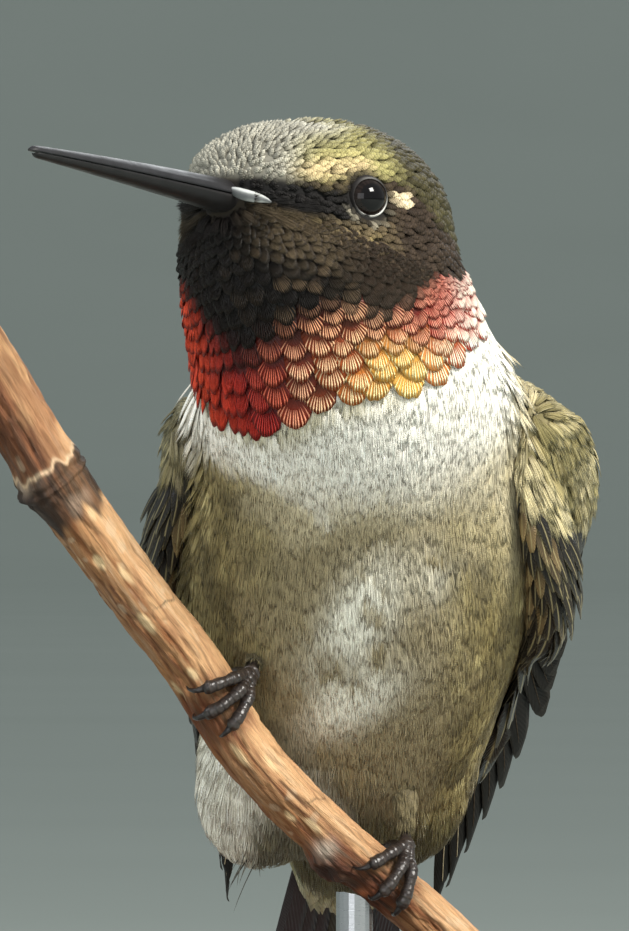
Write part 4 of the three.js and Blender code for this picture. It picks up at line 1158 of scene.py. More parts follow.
    out = np.where(mb, np.where(low, 0.03, -0.02), out)
    o = hair_tufts("coat_breast", p, tt, pp, mat, "plumage_body", size * (5.3 + 2.6 * near), size * 1.05, 9, 0.041, rng, colour=breast_col, h0=np.where(mb, np.where(low, -0.13, -0.40), -0.08), h1=out, root_dark=0.97, tip_pale=1.02, lift_noise=0.010, flat=0.03, tone_t=0.03, tone_s=0.10, lay=0.03, taper=0.45, hpow=0.9)
    print("coat_breast", len(p), len(o))

    # ---- back, nape and rump: green scales
    rng = np.random.default_rng(19)
    m = k == 3
    p, tt, pp = P[m], t[m], phi[m]
    size = np.interp(tt, [0.2, 0.36, 0.5, 0.9], [0.48, 0.72, 0.95, 1.0])
    kk = pick(p, size, rng)
    p, tt, pp, size = p[kk], tt[kk], pp[kk], size[kk]
    pts, nrm, dirs = trace(p, size * 2.7, 5, coat_flow, D0=rng.normal(0, 0.05, (len(p), 3)))
    mc = marks(pts[:, 3])
    tone = rng.uniform(0.82, 1.18, len(p))[:, None, None, None]

    def back_col(x, s):
        g = 0.35 + 0.75 * smooth(0.2, 0.92, s)
        return mc[:, None, None, :] * (g * (1 - 0.30 * np.abs(x) ** 3))[..., None] * tone

    pile = Pile()
    vanes(pile, pts, nrm, dirs, size * 0.68, uv_of(tt, pp), back_col, K=6, M=7, tip=0.34, base_w=0.45, h0=-0.42, h1=rng.uniform(0.0, 0.08, len(p)), cup=0.16, thick=0.045, ragged=0.07, rng=rng)
    print("coat_back", len(p), pile.triangles())
    pile.make("coat_back", plumage_material("feather_green", rough=0.38, spec=0.5, barbs=44, barb_slope=1.6, barb_depth=0.32, noise_scale=3200, metal=0.25), "plumage_body")

    # ---- vent and thighs: long white down
    rng = np.random.default_rng(23)
    m = k == 4
    p, tt, pp = P[m], t[m], phi[m]
    size = np.full(len(p), 0.74)
    kk = pick(p, size, rng)
    p, tt, pp, size = p[kk], tt[kk], pp[kk], size[kk]
    mat = plumage_material("feather_down", rough=0.8, spec=0.15, barb_depth=0.0, noise_scale=1200, dark=0.88, light=1.08, sheen=0.2)
    o = hair_tufts("coat_vent", p, tt, pp, mat, "leg_feathers", np.full(len(p), 2.9), size * 0.9, 13, 0.042, rng, h0=-0.24, h1=0.16, frizz=0.16, lift_noise=0.10, root_dark=0.9, flat=0.06)
    print("coat_vent", len(p), len(o))


def make_gorget(rng):
    """Rows of scales over the throat, set out by where their tips lie: larger downward and toward the bird's left."""
    pile_v, pile_b = Pile(), Pile()
    tips, widths, pitch = [], [], []
    gaps = 0.32 + 1.05 * np.linspace(0, 1, 16) ** 1.2
    gs = 1.02 - np.concatenate([[0], np.cumsum(gaps)]) / gaps.sum() * 1.02

    def wide(q, g):
        w = lerp(0.25, 1.02, np.clip(1 - g, 0, 1) ** 0.8)
        w = w * (1 - 0.50 * smooth(-6, -34, q)) * (1 - 0.34 * smooth(0.62, 0.84, g) * smooth(-14, 6, q))
        return np.maximum(w, 0.78 * smooth(62, 84, q) * smooth(1.0, 0.75, g))

    for r, g in enumerate(gs):
        qs = np.linspace(-117, 117, 700)
        low = np.interp(qs, GORGET_LOW[:, 0], GORGET_LOW[:, 1])
        up = np.interp(np.abs(qs), GORGET_UP[:, 0], GORGET_UP[:, 1])
        z = low + (up - low) * g
        a = np.radians(qs + GORGET_MID)
        c = np.stack([np.full_like(qs, 1.0), np.full_like(qs, Y0 + 1.3), z], -1)
        d = np.stack([np.sin(a), -np.cos(a), np.zeros_like(a)], -1)
        S = c + d * cast(c, d)[:, None]
        run = np.concatenate([[0], np.cumsum(np.sqrt((np.diff(S, axis=0) ** 2).sum(-1)))])
        s = rng.uniform(0.0, 0.5) + (0.5 if r % 2 else 0.0)
        while s < run[-1]:
            q = float(np.interp(s, run, qs))
            w = float(wide(q, g))
            i = np.array([np.interp(s, run, S[:, n]) for n in range(3)])
            tips.append(i + rng.normal(0, 0.06 + 0.05 * w, 3) + (np.array([0, 0, -0.25 * rng.random()]) if (q < -5 and r > 13) else 0))
            widths.append(w * rng.uniform(0.90, 1.12))
            pitch.append(gaps[min(r, 15)])
            s += w * 1.66
    P, W, pitch = np.array(tips), np.array(widths), np.array(pitch)
    # crowded places near the corners lose some
    kk = pick(P, W * 0.74, rng, order=np.argsort(-W + rng.uniform(0, 0.1, len(W))))
    P, W, pitch = P[kk], W[kk], pitch[kk]
    P, _ = settle(P, 0.0, 2)
    h, g, q = gorget_field(P)
    L = np.maximum(W * 2.5, pitch * 1.45 + 0.35)
    T0, _, _ = trace(P, L, 6, lambda X: -coat_flow(X))
    R = T0[:, -1]
    ok = off_bill(R, 0.0)
    P, W, L, R, h, g, q = P[ok], W[ok], L[ok], R[ok], h[ok], g[ok], q[ok]
    pts, nrm, dirs = trace(R, L, 6, coat_flow, D0=rng.normal(0, 0.04, (len(P), 3)))
    tt, pp = t_of(R)
    mid = pts[:, 5]
    gb, gt, lit = gorget_marks(mid)
    tone = rng.uniform(0.82, 1.15, len(P))
    lift = rng.uniform(0.02, 0.09, len(P)) + 0.10 * smooth(0.3, 0.0, g) * rng.random(len(P)) + 0.05 * lit
    left = smooth(-20, -60, q)
    lift = lift + 0.12 * left * rng.random(len(P)) * lit
    tw = rng.normal(0, 0.04, len(P)) + left * rng.normal(0, 0.12, len(P))

    def col(x, s):
        # each scale dark toward its root: partly its own dark base, partly painted shadow of the row above
        inner = smooth(0.35, 0.8, s) * (1 - smooth(0.90, 0.99, s) * 0.55)
        c = gb[:, None, None] * (0.35 + 0.75 * inner)[..., None]
        return c * tone[:, None, None, None] * (1 - 0.25 * np.abs(x) ** 4)[..., None]

    ragged = 0.04 + 0.05 * float(left.mean())
    ss, xw, hh, Sc = vanes(pile_v, pts, nrm, dirs, W, uv_of(tt, pp), col, K=6, M=8, tip=0.30, base_w=0.42, h0=-0.34, h1=lift, cup=0.10, thick=0.05, ragged=ragged, rng=rng, tip_w=0.9, twist=tw)
    # barbs: raised bright lines that fan out to the rim
    J = 11
    T = len(P)
    K = 4
    a = (np.arange(J) + 0.5) / J * 2 - 1
    a = a[None] + rng.uniform(-0.03, 0.03, (T, J))
    end = (1 - 0.30 * np.abs(a) ** 2.3) * rng.uniform(0.965, 1.03, (T, J))
    sk = np.linspace(0, 1, K)[None, None]
    s0 = (0.40 + 0.17 * lit * smooth(-20, 4, q))[:, None, None]
    ss = (s0 + (1 - s0) * sk) * end[..., None]
    spread = 0.40 + 0.60 * smooth(0.0, 0.85, (ss - s0 * 0.6))
    w = 0.42 + 0.58 * smooth(0, 0.5, ss)
    w = w * (1 - 0.1 * smooth(0.6, 1, ss))
    x = a[..., None] * np.minimum(1, 0.55 + 0.6 * sk)
    off = x * w * W[:, None, None] * 0.97
    hb = -0.34 + (lift[:, None, None] + 0.34) * ss ** 0.8 - 0.10 * W[:, None, None] * x * x + tw[:, None, None] * x * ss + 0.016 + 0.016 * sk
    N_ = unit(along(nrm, ss))
    S_ = unit(along(unit(np.cross(dirs, nrm)), ss))
    q3 = along(pts, ss) + S_ * off[..., None] + N_ * hb[..., None]
    barb = rng.uniform(0.72, 1.2, (T, J, 1))
    # the barbs brighten from the vane's colour to a bright tip: painted iridescent reflection
    shine = smooth(0.0, 0.5, sk)
    fade = 0.22 + 0.95 * shine
    cc = mix(gb[:, None, None, :] * np.ones((T, J, K, 1)), gt[:, None, None, :], np.broadcast_to(fade * (1 - 0.25 * np.abs(a)[..., None] ** 2) * barb, (T, J, K)).clip(0, 1.15))
    cc = np.clip(cc * tone[:, None, None, None], 0, 1)
    rad_ = np.broadcast_to(W[:, None, None] * 0.052 * (0.6 + 0.6 * sk), (T, J, K)).copy()
    f = lambda A: A.reshape(T * J, K, -1)
    uv = patch_uv(uv_of(tt, pp), np.broadcast_to(a[..., None] * 0.5, ss.shape), np.broadcast_to(ss - 0.5, ss.shape))
    strands(pile_b, f(q3), f(S_), f(N_), rad_.reshape(T * J, K), f(cc), f(uv), a.reshape(-1))
    print("gorget", T, pile_v.triangles(), pile_b.triangles())
    pile_v.make("coat_gorget", plumage_material("feather_bib", rough=0.45, spec=0.26, barbs=40, barb_slope=1.2, barb_depth=0.12, noise_scale=3600, metal=0.10), "plumage_throat")
    pile_b.make("coat_gorget_barbs", plumage_material("feather_bib_barbs", rough=0.38, spec=0.36, barb_depth=0.0, noise_scale=5200, dark=0.9, light=1.1, metal=0.12), "plumage_throat")
# ------------------------------------------------------------ wings and tail
WRIST = {1: (8.2, -6.6, 6.0), -1: (7.7, -6.6, 6.0)}
WING_AXIS = {1: (-0.130, 0.749, -0.650), -1: (-0.100, 0.752, -0.652)}
WING_FRONT = {1: -2.4, -1: 0.0}
WING_L = 38.6
WING_TIPS = [(21.6, 9.6), (22.9, 8.5), (29.0, 8.4), (30.8, 6.9), (32.7, 5.7), (34.3, 4.5), (36.0, 3.3)]


class Wing:
    """Places in a folded wing: s along the blade, v from its leading to its trailing edge, h outward."""

    def __init__(self, side):
        W, s0 = WING_AXIS[side], WING_FRONT[side]
        self.side, self.s0 = side, s0
        a = trunk_dir(W[0] * side, W[1], W[2])
        d = trunk_dir(0, -W[2], W[1])
        x = trunk_dir(side, 0, 0)
        x = unit(x - a * (x @ a))
        c = d * math.cos(rad(28)) + x * math.sin(rad(28))
        c = unit(c - a * (c @ a))
        n = unit(np.cross(a, c) * side)
        self.a, self.c, self.n = a, c, n
        self.w0 = trunk_point(WRIST[side][0] * side, WRIST[side][1], WRIST[side][2])
        # the height at which the body is just clear, over a grid
        self.gs, self.gv = np.linspace(s0 - 0.5, WING_L + 0.5, 60), np.linspace(-3.2, 11.2, 44)
        S, V = np.meshgrid(self.gs, self.gv, indexing="ij")
        h = np.full(S.shape, 6.0)
        live = np.ones(S.shape, bool)
        for _ in range(100):
            F = body(self.at(S, V, h)) - 0.34
            live &= (F > 0) & (h > -7)
            h = np.where(live, h - np.clip(F * 0.6, 0.03, 0.6), h)
            if not live.any():
                break
        self.clear = h

    def at(self, s, v, h):
        s, v, h = np.broadcast_arrays(np.asarray(s, float), np.asarray(v, float), np.asarray(h, float))
        return self.w0 + self.a * s[..., None] + self.c * v[..., None] + self.n * h[..., None]

    def skin(self, s, v):
        i = np.clip((np.asarray(s, float) - self.gs[0]) / (self.gs[1] - self.gs[0]), 0, len(self.gs) - 1.001)
        j = np.clip((np.asarray(v, float) - self.gv[0]) / (self.gv[1] - self.gv[0]), 0, len(self.gv) - 1.001)
        i, j = np.broadcast_arrays(i, j)
        a, b = i.astype(int), j.astype(int)
        u, w = i - a, j - b
        G = self.clear
        return (G[a, b] * (1 - u) * (1 - w) + G[a + 1, b] * u * (1 - w) + G[a, b + 1] * (1 - u) * w + G[a + 1, b + 1] * u * w)

    def lead(self, s):
        s0 = self.s0
        return np.interp(s, [s0, s0 + 0.8, s0 + 2.8, s0 + 6, 10, 18, 28, WING_L], [1.2, -0.2, -1.4, -2.0, -1.6, -1.4, -1.0, 0.35])

    def trail(self, s):
        s0 = self.s0
        return np.interp(s, [s0, s0 + 0.8, s0 + 2.8, s0 + 6.6, 12, 21.6, 25, 29.0, 30.8, 32.7, 34.3, 36.0, WING_L],
                         [2.4, 4.2, 6.0, 7.6, 9.1, 9.6, 9.0, 8.4, 6.9, 5.7, 4.5, 3.3, 0.9])

    def up(self, s, v):
        s = np.asarray(s, float)
        v0, v1 = self.lead(s), self.trail(s)
        e = np.clip((v - v0) / np.maximum(0.5, v1 - v0), 0, 1)
        lift = 0.45 * np.sin(np.pi * e) - 0.9 * smooth(12, 0, s)
        return np.maximum(lift, self.skin(s, v))

    def tuft(self, s, v):
        k = 2.5 if self.side > 0 else 1.9
        return k * np.sqrt(np.maximum(0, 1 - ((s - 6.2) / 8.2) ** 2 - ((v - 3.4) / 6.4) ** 2))


def long_vane(pile, at, path, H, outer, inner, col, K=24, M=7, off=0.1, thick=0.05, slant=0.5, seed=0, uv0=(0.5, 0.5), rachis=(0.10, 0.035), rachis_col=None, splits=0.06, curl=0.0, shaft_pile=None):
    """One flight or tail feather: path(u) gives its shaft's place (s, v), outer and inner its half widths."""
    rng = np.random.default_rng(seed)
    u = np.linspace(0, 1, K)
    s, v = path(u)
    x = np.linspace(-1, 1, M)
    wo, wi = outer(u), inner(u)
    w = np.where(x[None] < 0, wo[:, None] * x[None], wi[:, None] * x[None])
    # barbs sweep toward the tip, so the edge lies further on than the shaft
    ds = np.gradient(s) / np.maximum(1e-6, np.gradient(u))
    nick = (rng.random((K, M)) - 0.5) * splits * (np.abs(x)[None] > 0.9)
    S = s[:, None] + slant * np.abs(w) * (1 - 0.8 * smooth(0.86, 1.0, u))[:, None] * 0.6
    Vv = v[:, None] + w * (1 + nick)
    hh = H(S, Vv) + off - 0.05 * (x[None] ** 2) + curl * (u[:, None] ** 2) + rng.normal(0, 0.004, (K, M))
    top = at(S, Vv, hh)
    low = at(S, Vv, hh - thick * (1 - 0.5 * np.abs(x[None])) * (1 - 0.4 * u[:, None]))
    g = np.arange(K * M).reshape(K, M)
    n = K * M
    q = []
    for k in range(K - 1):
        for m in range(M - 1):
            q.append([g[k, m], g[k, m + 1], g[k + 1, m + 1], g[k + 1, m]])
            q.append([n + g[k, m], n + g[k + 1, m], n + g[k + 1, m + 1], n + g[k, m + 1]])
    edge = list(g[0, :]) + list(g[1:, -1]) + list(g[-1, -2::-1]) + list(g[-2:0:-1, 0])
    for i, a in enumerate(edge):
        b = edge[(i + 1) % len(edge)]
        q.append([a, n + a, n + b, b])
    q = np.array(q)
    # faces outward whichever hand the wing is
    e1, e2 = top[1, 0] - top[0, 0], top[0, 1] - top[0, 0]
    nn = at(s[0], v[0], 1.0) - at(s[0], v[0], 0.0)
    if np.cross(e2, e1) @ nn < 0:
        q = q[:, ::-1]
    X, U = np.broadcast_to(x[None], (K, M)), np.broadcast_to(u[:, None], (K, M))
    c = col(X, U)
    uv = np.array(uv0)[None, None] + 0.003 * np.stack([X * 0.5, U - 0.5], -1)
    fea = np.stack([X, U], -1)
    rep = lambda A: np.concatenate([A.reshape(n, -1)] * 2)
    pile.add(np.concatenate([top.reshape(n, 3), low.reshape(n, 3)]), q, None, rep(c), rep(uv), rep(fea))
    # the shaft, a raised tapering ridge
    r0, r1 = rachis
    us = np.linspace(0, 0.97, 16)
    s2, v2 = path(us)
    p = at(s2, v2, H(s2, v2) + off + 0.004 + curl * us ** 2)
    d = unit(np.gradient(p, axis=0))
    nm = unit(np.broadcast_to(nn, p.shape) - d * (d @ nn)[:, None])
    sd = unit(np.cross(d, nm))
    rc = rachis_col if rachis_col is not None else c[:, M // 2].mean(0) * 1.6
    strands(pile, p[None], sd[None], nm[None], np.linspace(r0, r1, 16)[None] * 0.8, np.broadcast_to(rc, (1, 16, 3)), np.broadcast_to(np.array(uv0), (1, 16, 2)), np.zeros(1))


def grid_normals(G):
    da = np.gradient(G, axis=0)
    db = np.roll(G, -1, 1) - np.roll(G, 1, 1)
    N = unit(np.cross(da, db))
    mid = G.mean(1, keepdims=True)
    if ((G - mid) * N).sum() < 0:
        N = -N
    return N


def grid_at(G, a, b):
    n, m = G.shape[:2]
    a = np.clip(a, 0, n - 1.0001)
    i, j = np.floor(a).astype(int), np.floor(b).astype(int)
    u, w = (a - i)[..., None], (b - j)[..., None]
    j0, j1 = j % m, (j + 1) % m
    return (G[i, j0] * (1 - u) * (1 - w) + G[i + 1, j0] * u * (1 - w) + G[i, j1] * (1 - u) * w + G[i + 1, j1] * u * w)


def grid_lines(G, N, a, b, length, K, drift=0.0):
    """Lines along the grid's first way from places (a, b)."""
    pts, nrm = [], []
    a, b = np.array(a, float), np.array(b, float)
    for k in range(K):
        P = grid_at(G, a, b)
        pts.append(P)
        nrm.append(unit(grid_at(N, a, b)))
        step = np.sqrt(((grid_at(G, a + 0.5, b) - grid_at(G, a - 0.5, b)) ** 2).sum(-1))
        full = (a > G.shape[0] - 1.6)
        a = a + (length / (K - 1)) / np.maximum(0.15, step) * ~full
        b = b + drift
    P = np.stack(pts, 1)
    N_ = np.stack(nrm, 1)
    # past the grid's end a feather goes straight on
    D = np.gradient(P, axis=1)
    ln = np.sqrt((D ** 2).sum(-1))
    want = (length / (K - 1))
    for k in range(1, K):
        short = np.sqrt(((P[:, k] - P[:, k - 1]) ** 2).sum(-1)) < 0.5 * want
        prev = P[:, k - 1] - P[:, k - 2] if k > 1 else None
        if prev is not None:
            P[:, k] = np.where(short[:, None], P[:, k - 1] + unit(prev) * np.broadcast_to(want, short.shape)[:, None], P[:, k])
    D = unit(np.gradient(P, axis=1))
    N_ = unit(N_ - D * (N_ * D).sum(-1, keepdims=True))
    return P, N_, D


BLACKISH = srgb(19, 16, 13)
WING_DARK = srgb(30, 26, 21)


def make_wing(side):
    key = "left" if side > 0 else "right"
    W = Wing(side)
    rng = np.random.default_rng(100 + side)
    # ---- the core: the closed, feathered root of the wing
    S = np.concatenate([np.linspace(W.s0, W.s0 + 3, 9, endpoint=False), np.linspace(W.s0 + 3, 23.0, 30)])
    nt, nr = 17, 5
    G = []
    for s in S:
        v0, v1 = float(W.lead(s)) + 0.25, float(W.trail(s)) - 0.5
        v1 = max(v1, v0 + 0.6)
        v1 = lerp(v1, v0 + 3.2, float(smooth(16, 23, s)))
        v = np.linspace(v0, v1, nt)
        up = W.up(s, v)
        b = W.skin(s, v)
        near = float(smooth(13, 20, s))
        low = lerp(np.maximum(b, up - 3.4), up, near)
        top = up + 0.30 + W.tuft(s, v) * 0.90
        th = lerp(1.0, 0.25, near)
        top = np.maximum(top, low + 0.16)
        top = low + (top - low) * lerp(1.0, 0.6, near)
        ring = [W.at(s, v[i], top[i]) for i in range(nt)]
        for e in np.linspace(0, 1, nr + 2)[1:-1]:
            ring.append(W.at(s, v1 + 0.2 * math.sin(math.pi * e), lerp(top[-1], low[-1], e)))
        ring += [W.at(s, v[i], low[i]) for i in range(nt - 1, -1, -1)]
        for e in np.linspace(0, 1, nr + 2)[1:-1]:
            ring.append(W.at(s, v0 - 0.2 * math.sin(math.pi * e), lerp(low[0], top[0], e)))
        G.append(np.array(ring))
    G = np.array(G)
    ns, nn = G.shape[:2]
    N = grid_normals(G)
    i = np.arange((ns - 1) * nn).reshape(ns - 1, nn)
    j = np.roll(i, -1, 1)
    q = np.stack([i, j, j + nn, i + nn], -1).reshape(-1, 4)
    v = (G - N * 0.34).reshape(-1, 3)
    ends = [G[0].mean(0) - W.a * 0.25, G[-1].mean(0) + W.a * 0.4]
    v = np.concatenate([v, np.array(ends)])
    kk = np.arange(nn)
    t1 = np.stack([np.full(nn, len(v) - 2), (kk + 1) % nn, kk], -1)
    last = (ns - 1) * nn
    t2 = np.stack([np.full(nn, len(v) - 1), last + kk, last + (kk + 1) % nn], -1)
    tris = np.concatenate([t1, t2])
    fn = np.cross(v[q[:, 1]] - v[q[:, 0]], v[q[:, 2]] - v[q[:, 0]])
    if (fn * N.reshape(-1, 3)[q[:, 0]]).sum() < 0:
        q, tris = q[:, ::-1], tris[:, ::-1]

    def border(vv):
        """Where along the wing the soft shoulder ends, at each place across it."""
        return 2.0 + np.clip((vv + 1.4) / 11.1, 0, 1) * 12.0

    def covert_col(P, shift=0.0):
        d = P - W.w0
        s, vv, h = d @ W.a, d @ W.c, d @ W.n
        n1, n2, n3 = fbm(P, 2.0, 41), noise3(P, 0.7, 42), noise3(P, 0.4, 43)
        green = mix(np.broadcast_to(srgb(148, 136, 92), P.shape), srgb(196, 184, 146), smooth(0.40, 0.66, n1))
        green = mix(green, srgb(108, 102, 60), smooth(0.52, 0.34, n2) * 0.5)
        # the right wing, on the shaded side, painted darker: painted shade
        green = green * (1.0 if side > 0 else 0.62)
        c = green * (0.82 + 0.34 * n3)[..., None]
        dk = smooth(0.2, 1.6, s + shift - border(vv) + (n1 - 0.5) * 1.5)
        dark = mix(WING_DARK * (0.8 + 0.5 * n2)[..., None], srgb(120, 100, 66) * (0.5 + 1.0 * n3)[..., None], smooth(-0.6, -1.3, vv) * smooth(11.0, 9.0, s) * smooth(0.44, 0.60, n3))
        c = mix(c, dark, dk)
        return c

    # the core darker than the coverts: painted shade under them
    col = covert_col(v) * 0.62
    uvc = np.stack([np.tile(np.arange(nn) / nn, ns), np.repeat(np.linspace(0.02, 0.98, ns), nn)], -1)
    uvc = np.concatenate([uvc, [[0.5, 0.0], [0.5, 1.0]]])
    nm = Net("wing_core_" + key)
    cc = nm.mixc(nm.attr(), nm.ramp(nm.noise(nm.coords(), 1500, 3), [(0.3, 0.6), (0.7, 1.1)]), 0.6, "MULTIPLY")
    core = make_mesh("wing_core_" + key, v, q, tris, col, uvc, None, nm.set(color=cc, rough=0.8, spec=0.2, normal=nm.bump(nm.noise(nm.coords(), 4000, 2), 0.4, 0.00005)))
    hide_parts("wing_" + key)

    # ---- coverts over the core, loose on the shoulder
    area = np.sqrt((np.cross(np.roll(G, -1, 1)[:-1] - G[:-1], G[1:] - G[:-1]) ** 2).sum(-1)).reshape(-1)
    n = 7000
    k = rng.choice(len(area), n, p=area / area.sum())
    a, b = k // nn + rng.random(n), k % nn + rng.random(n)
    P = grid_at(G, a, b)
    s_ = (P - W.w0) @ W.a
    clear_of_body = body(P) > -0.25
    P, a, b, s_ = P[clear_of_body], a[clear_of_body], b[clear_of_body], s_[clear_of_body]
    P_all, a_all, b_all, s_all = P, a, b, s_
    vv_ = (P - W.w0) @ W.c
    late = (s_ > border(vv_) - 1.2) & (body(P) > 0.15)
    P, a, b, s_ = P[late], a[late], b[late], s_[late]
    size = np.interp(s_, [W.s0, 2, 8, 14, 22], [0.45, 0.50, 0.62, 0.9, 1.1])
    kk = pick(P, size, rng)
    a, b, s_, size, P = a[kk], b[kk], s_[kk], size[kk], P[kk]
    top_side = (b % nn) < nt
    L = np.interp(s_, [W.s0, 3, 9, 15, 22], [2.0, 3.0, 4.0, 5.0, 5.0]) * rng.uniform(0.85, 1.12, len(a))
    L = np.where(top_side, L, L * 0.8)
    pts, nrm, dirs = grid_lines(G, N, a, b, L, 5, drift=0.0)
    mc = covert_col(pts[:, 3], 1.6)
    tone = rng.uniform(0.8, 1.2, len(a))[:, None, None, None]
    loose = np.interp(s_, [W.s0, 2, 6, 11, 14], [0.05, 0.18, 0.55, 0.5, 0.1]) * rng.random(len(a)) * top_side
    buff = srgb(204, 190, 142)

    def ccol(x, s):
        g = 0.55 + 0.50 * smooth(0.2, 0.9, s)
        c = mc[:, None, None, :] * (g * (1 - 0.22 * np.abs(x) ** 2))[..., None] * tone
        edge = smooth(0.80, 1.0, np.maximum(np.abs(x) * smooth(0.4, 0.7, s), s)) * 0.16
        return mix(c, buff * 0.8, edge)

    pile = Pile()
    vanes(pile, pts, nrm, dirs, size * 0.72, np.stack([(b % nn) / nn * 0.98 + 0.01, np.clip(a / ns, 0.01, 0.99)], -1), ccol, K=7, M=7, tip=0.42, base_w=0.42, h0=-0.12,
          h1=0.26 + loose, cup=0.12, thick=0.045, ragged=0.13, rng=rng, tip_w=0.80, hpow=0.62, twist=rng.normal(0, 0.06, len(a)))
    print("coverts", key, len(a), pile.triangles())
    mat = plumage_material("covert_" + key, rough=0.5, spec=0.4, barbs=52, barb_slope=1.5, barb_depth=0.34, noise_scale=2600, rachis=0.55, metal=0.10)
    pile.make("coverts_" + key, mat, "flight_feathers")

    # ---- the soft shoulder: fans of loose barbs that also close the gap to the breast
    P, a, b, s_ = P_all, a_all, b_all, s_all
    vv_ = (P - W.w0) @ W.c
    early = s_ < border(vv_) - 0.9
    P, a, b, s_ = P[early], a[early], b[early], s_[early]
    size = np.interp(s_, [W.s0, 2, 8, 14], [0.40, 0.50, 0.58, 0.60])
    kk = pick(P, size, rng)
    a, b, s_, size, P = a[kk], b[kk], s_[kk], size[kk], P[kk]
    L = np.interp(s_, [W.s0, 2, 6, 12], [2.0, 2.6, 3.1, 3.3]) * rng.uniform(0.85, 1.15, len(a))
    lines = grid_lines(G, N, a, b, L, 4, drift=0.0)
    sd_ = unit(np.cross(lines[2], lines[1]))
    uvr = np.stack([(b % nn) / nn * 0.98 + 0.01, np.clip(a / ns, 0.01, 0.99)], -1)
    outer = (b % nn) / nt
    loose = np.interp(s_, [W.s0, 1, 5, 10, 14], [0.05, 0.12, 0.40, 0.42, 0.25]) * rng.random(len(a)) ** 1.5
    pale = (rng.random(len(a)) < 0.30) * 1.0

    def scol(Q, s, e):
        c = covert_col(Q.reshape(-1, 3)).reshape(Q.shape)
        mid = np.exp(-(np.linspace(-1, 1, Q.shape[1]) / 0.28) ** 2)[None]
        w = mid * pale[e][:, None] * 0.55
        return mix(c, np.broadcast_to(buff, c.shape), w)

    print("shoulder", key, len(a))
    hair_tufts("shoulder_" + key, P, None, None, plumage_material("shoulder_" + key, rough=0.6, spec=0.3, barb_depth=0.0, noise_scale=2200, dark=0.85, light=1.12, sheen=0.1), "plumage_body", L, size * 0.85, 12, 0.046, rng,
               lines=lines, colour=scol, uvr=uvr, h0=-0.28, h1=loose + 0.02, root_dark=0.78, tip_pale=1.18, lift_noise=0.05, flat=0.12, tone_t=0.12, tone_s=0.16, taper=0.5, frizz=0.03)

    # ---- flight feathers: ten primaries and six secondaries
    pile = Pile()
    prim = [(39.8, 1.4), (38.2, 2.4), (36.2, 3.6), (34.3, 4.8), (32.6, 6.0), (30.8, 7.0), (28.8, 8.9), (26.4, 8.8), (24.8, 8.7), (23.4, 8.8)]
    sec = [(22.4, 9.2), (21.8, 9.6), (21.2, 10.0), (20.4, 10.0), (19.2, 9.7), (17.8, 9.4)]
    feathers = [("p", i, s, v) for i, (s, v) in enumerate(prim)] + [("s", i, s, v) for i, (s, v) in enumerate(sec)]
    for kind, i, s1, v1 in feathers:
        if kind == "p":
            s0, v0 = 3.0 + i * 0.25, -0.75 + 0.33 * i
            off, wo, wi = 0.05 + 0.036 * i, 0.70 + 0.03 * i, 1.85 + 0.04 * i
            lift = 1.35 if side > 0 else 2.5 - 0.16 * i
        else:
            s0, v0 = 4.5 + i * 0.3, 3.0 + 0.75 * i
            off, wo, wi = 0.42 + 0.028 * i, 1.0, 1.6
            lift = 0.35 if side > 0 else 0.5
        bend = 1.5 if kind == "p" else 1.2
        path = lambda u, s0=s0, v0=v0, s1=s1, v1=v1, bend=bend, wi=wi: (lerp(s0, s1, u), v0 + (v1 - 0.35 * wi * smooth(0.5, 1, u) * 0 - v0) * u ** bend)
        tip_o = lambda u: np.sqrt(np.clip(1 - ((u - 0.90) / 0.105) ** 2, 0, 1)) * (u > 0.90) + (u <= 0.90)
        outer = lambda u, wo=wo, tip_o=tip_o: wo * (0.45 + 0.55 * smooth(0.05, 0.3, u)) * (1 - 0.30 * smooth(0.55, 0.95, u)) * tip_o(u) + 0.03
        inner = lambda u, wi=wi, k=kind: wi * (0.4 + 0.6 * smooth(0.08, 0.45, u)) * (1 - 0.30 * smooth(0.75, 0.95, u)) * np.sqrt(np.clip(1 - (np.clip(u - 0.86, 0, 1) / 0.142) ** 2, 0, 1)) + 0.03
        rr = np.random.default_rng(300 + i + (50 if kind == "s" else 0) + side)
        tn = rr.uniform(0.85, 1.15)
        pale = srgb(176, 160, 126)

        def fcol(X, U, kind=kind, i=i, tn=tn):
            c = np.broadcast_to(BLACKISH if kind == "p" else mix(BLACKISH, WING_DARK, 0.5), X.shape + (3,)) * tn
            c = c * (0.8 + 0.3 * smooth(0, 0.6, U))[..., None]
            if kind == "s":
                c = mix(c, srgb(104, 90, 60), 0.36 * smooth(0.78, 1.0, -X) + 0.15 * smooth(0.90, 1.0, U))
            else:
                c = mix(c, srgb(96, 88, 76), 0.16 * smooth(0.80, 1.0, np.abs(X)) + 0.30 * smooth(0.965, 1.0, U))
            return c

        rcol = srgb(196, 184, 154) if (kind == "p" and i in (0, 1)) else srgb(84, 72, 58)
        long_vane(pile, W.at, path, W.up, outer, inner, fcol, K=24, M=7, off=off, seed=500 + i, uv0=(0.1 + 0.05 * (i + (10 if kind == "s" else 0)), 0.5), rachis=(0.13, 0.03), rachis_col=rcol, curl=lift)
    print("flight", key, pile.triangles())
    mat = plumage_material("flight_" + key, rough=0.7, spec=0.06, barbs=260, barb_slope=8.0, barb_depth=0.22, noise_scale=1500, dark=0.7, light=1.3)
    pile.make("flight_" + key, mat, "flight_feathers")


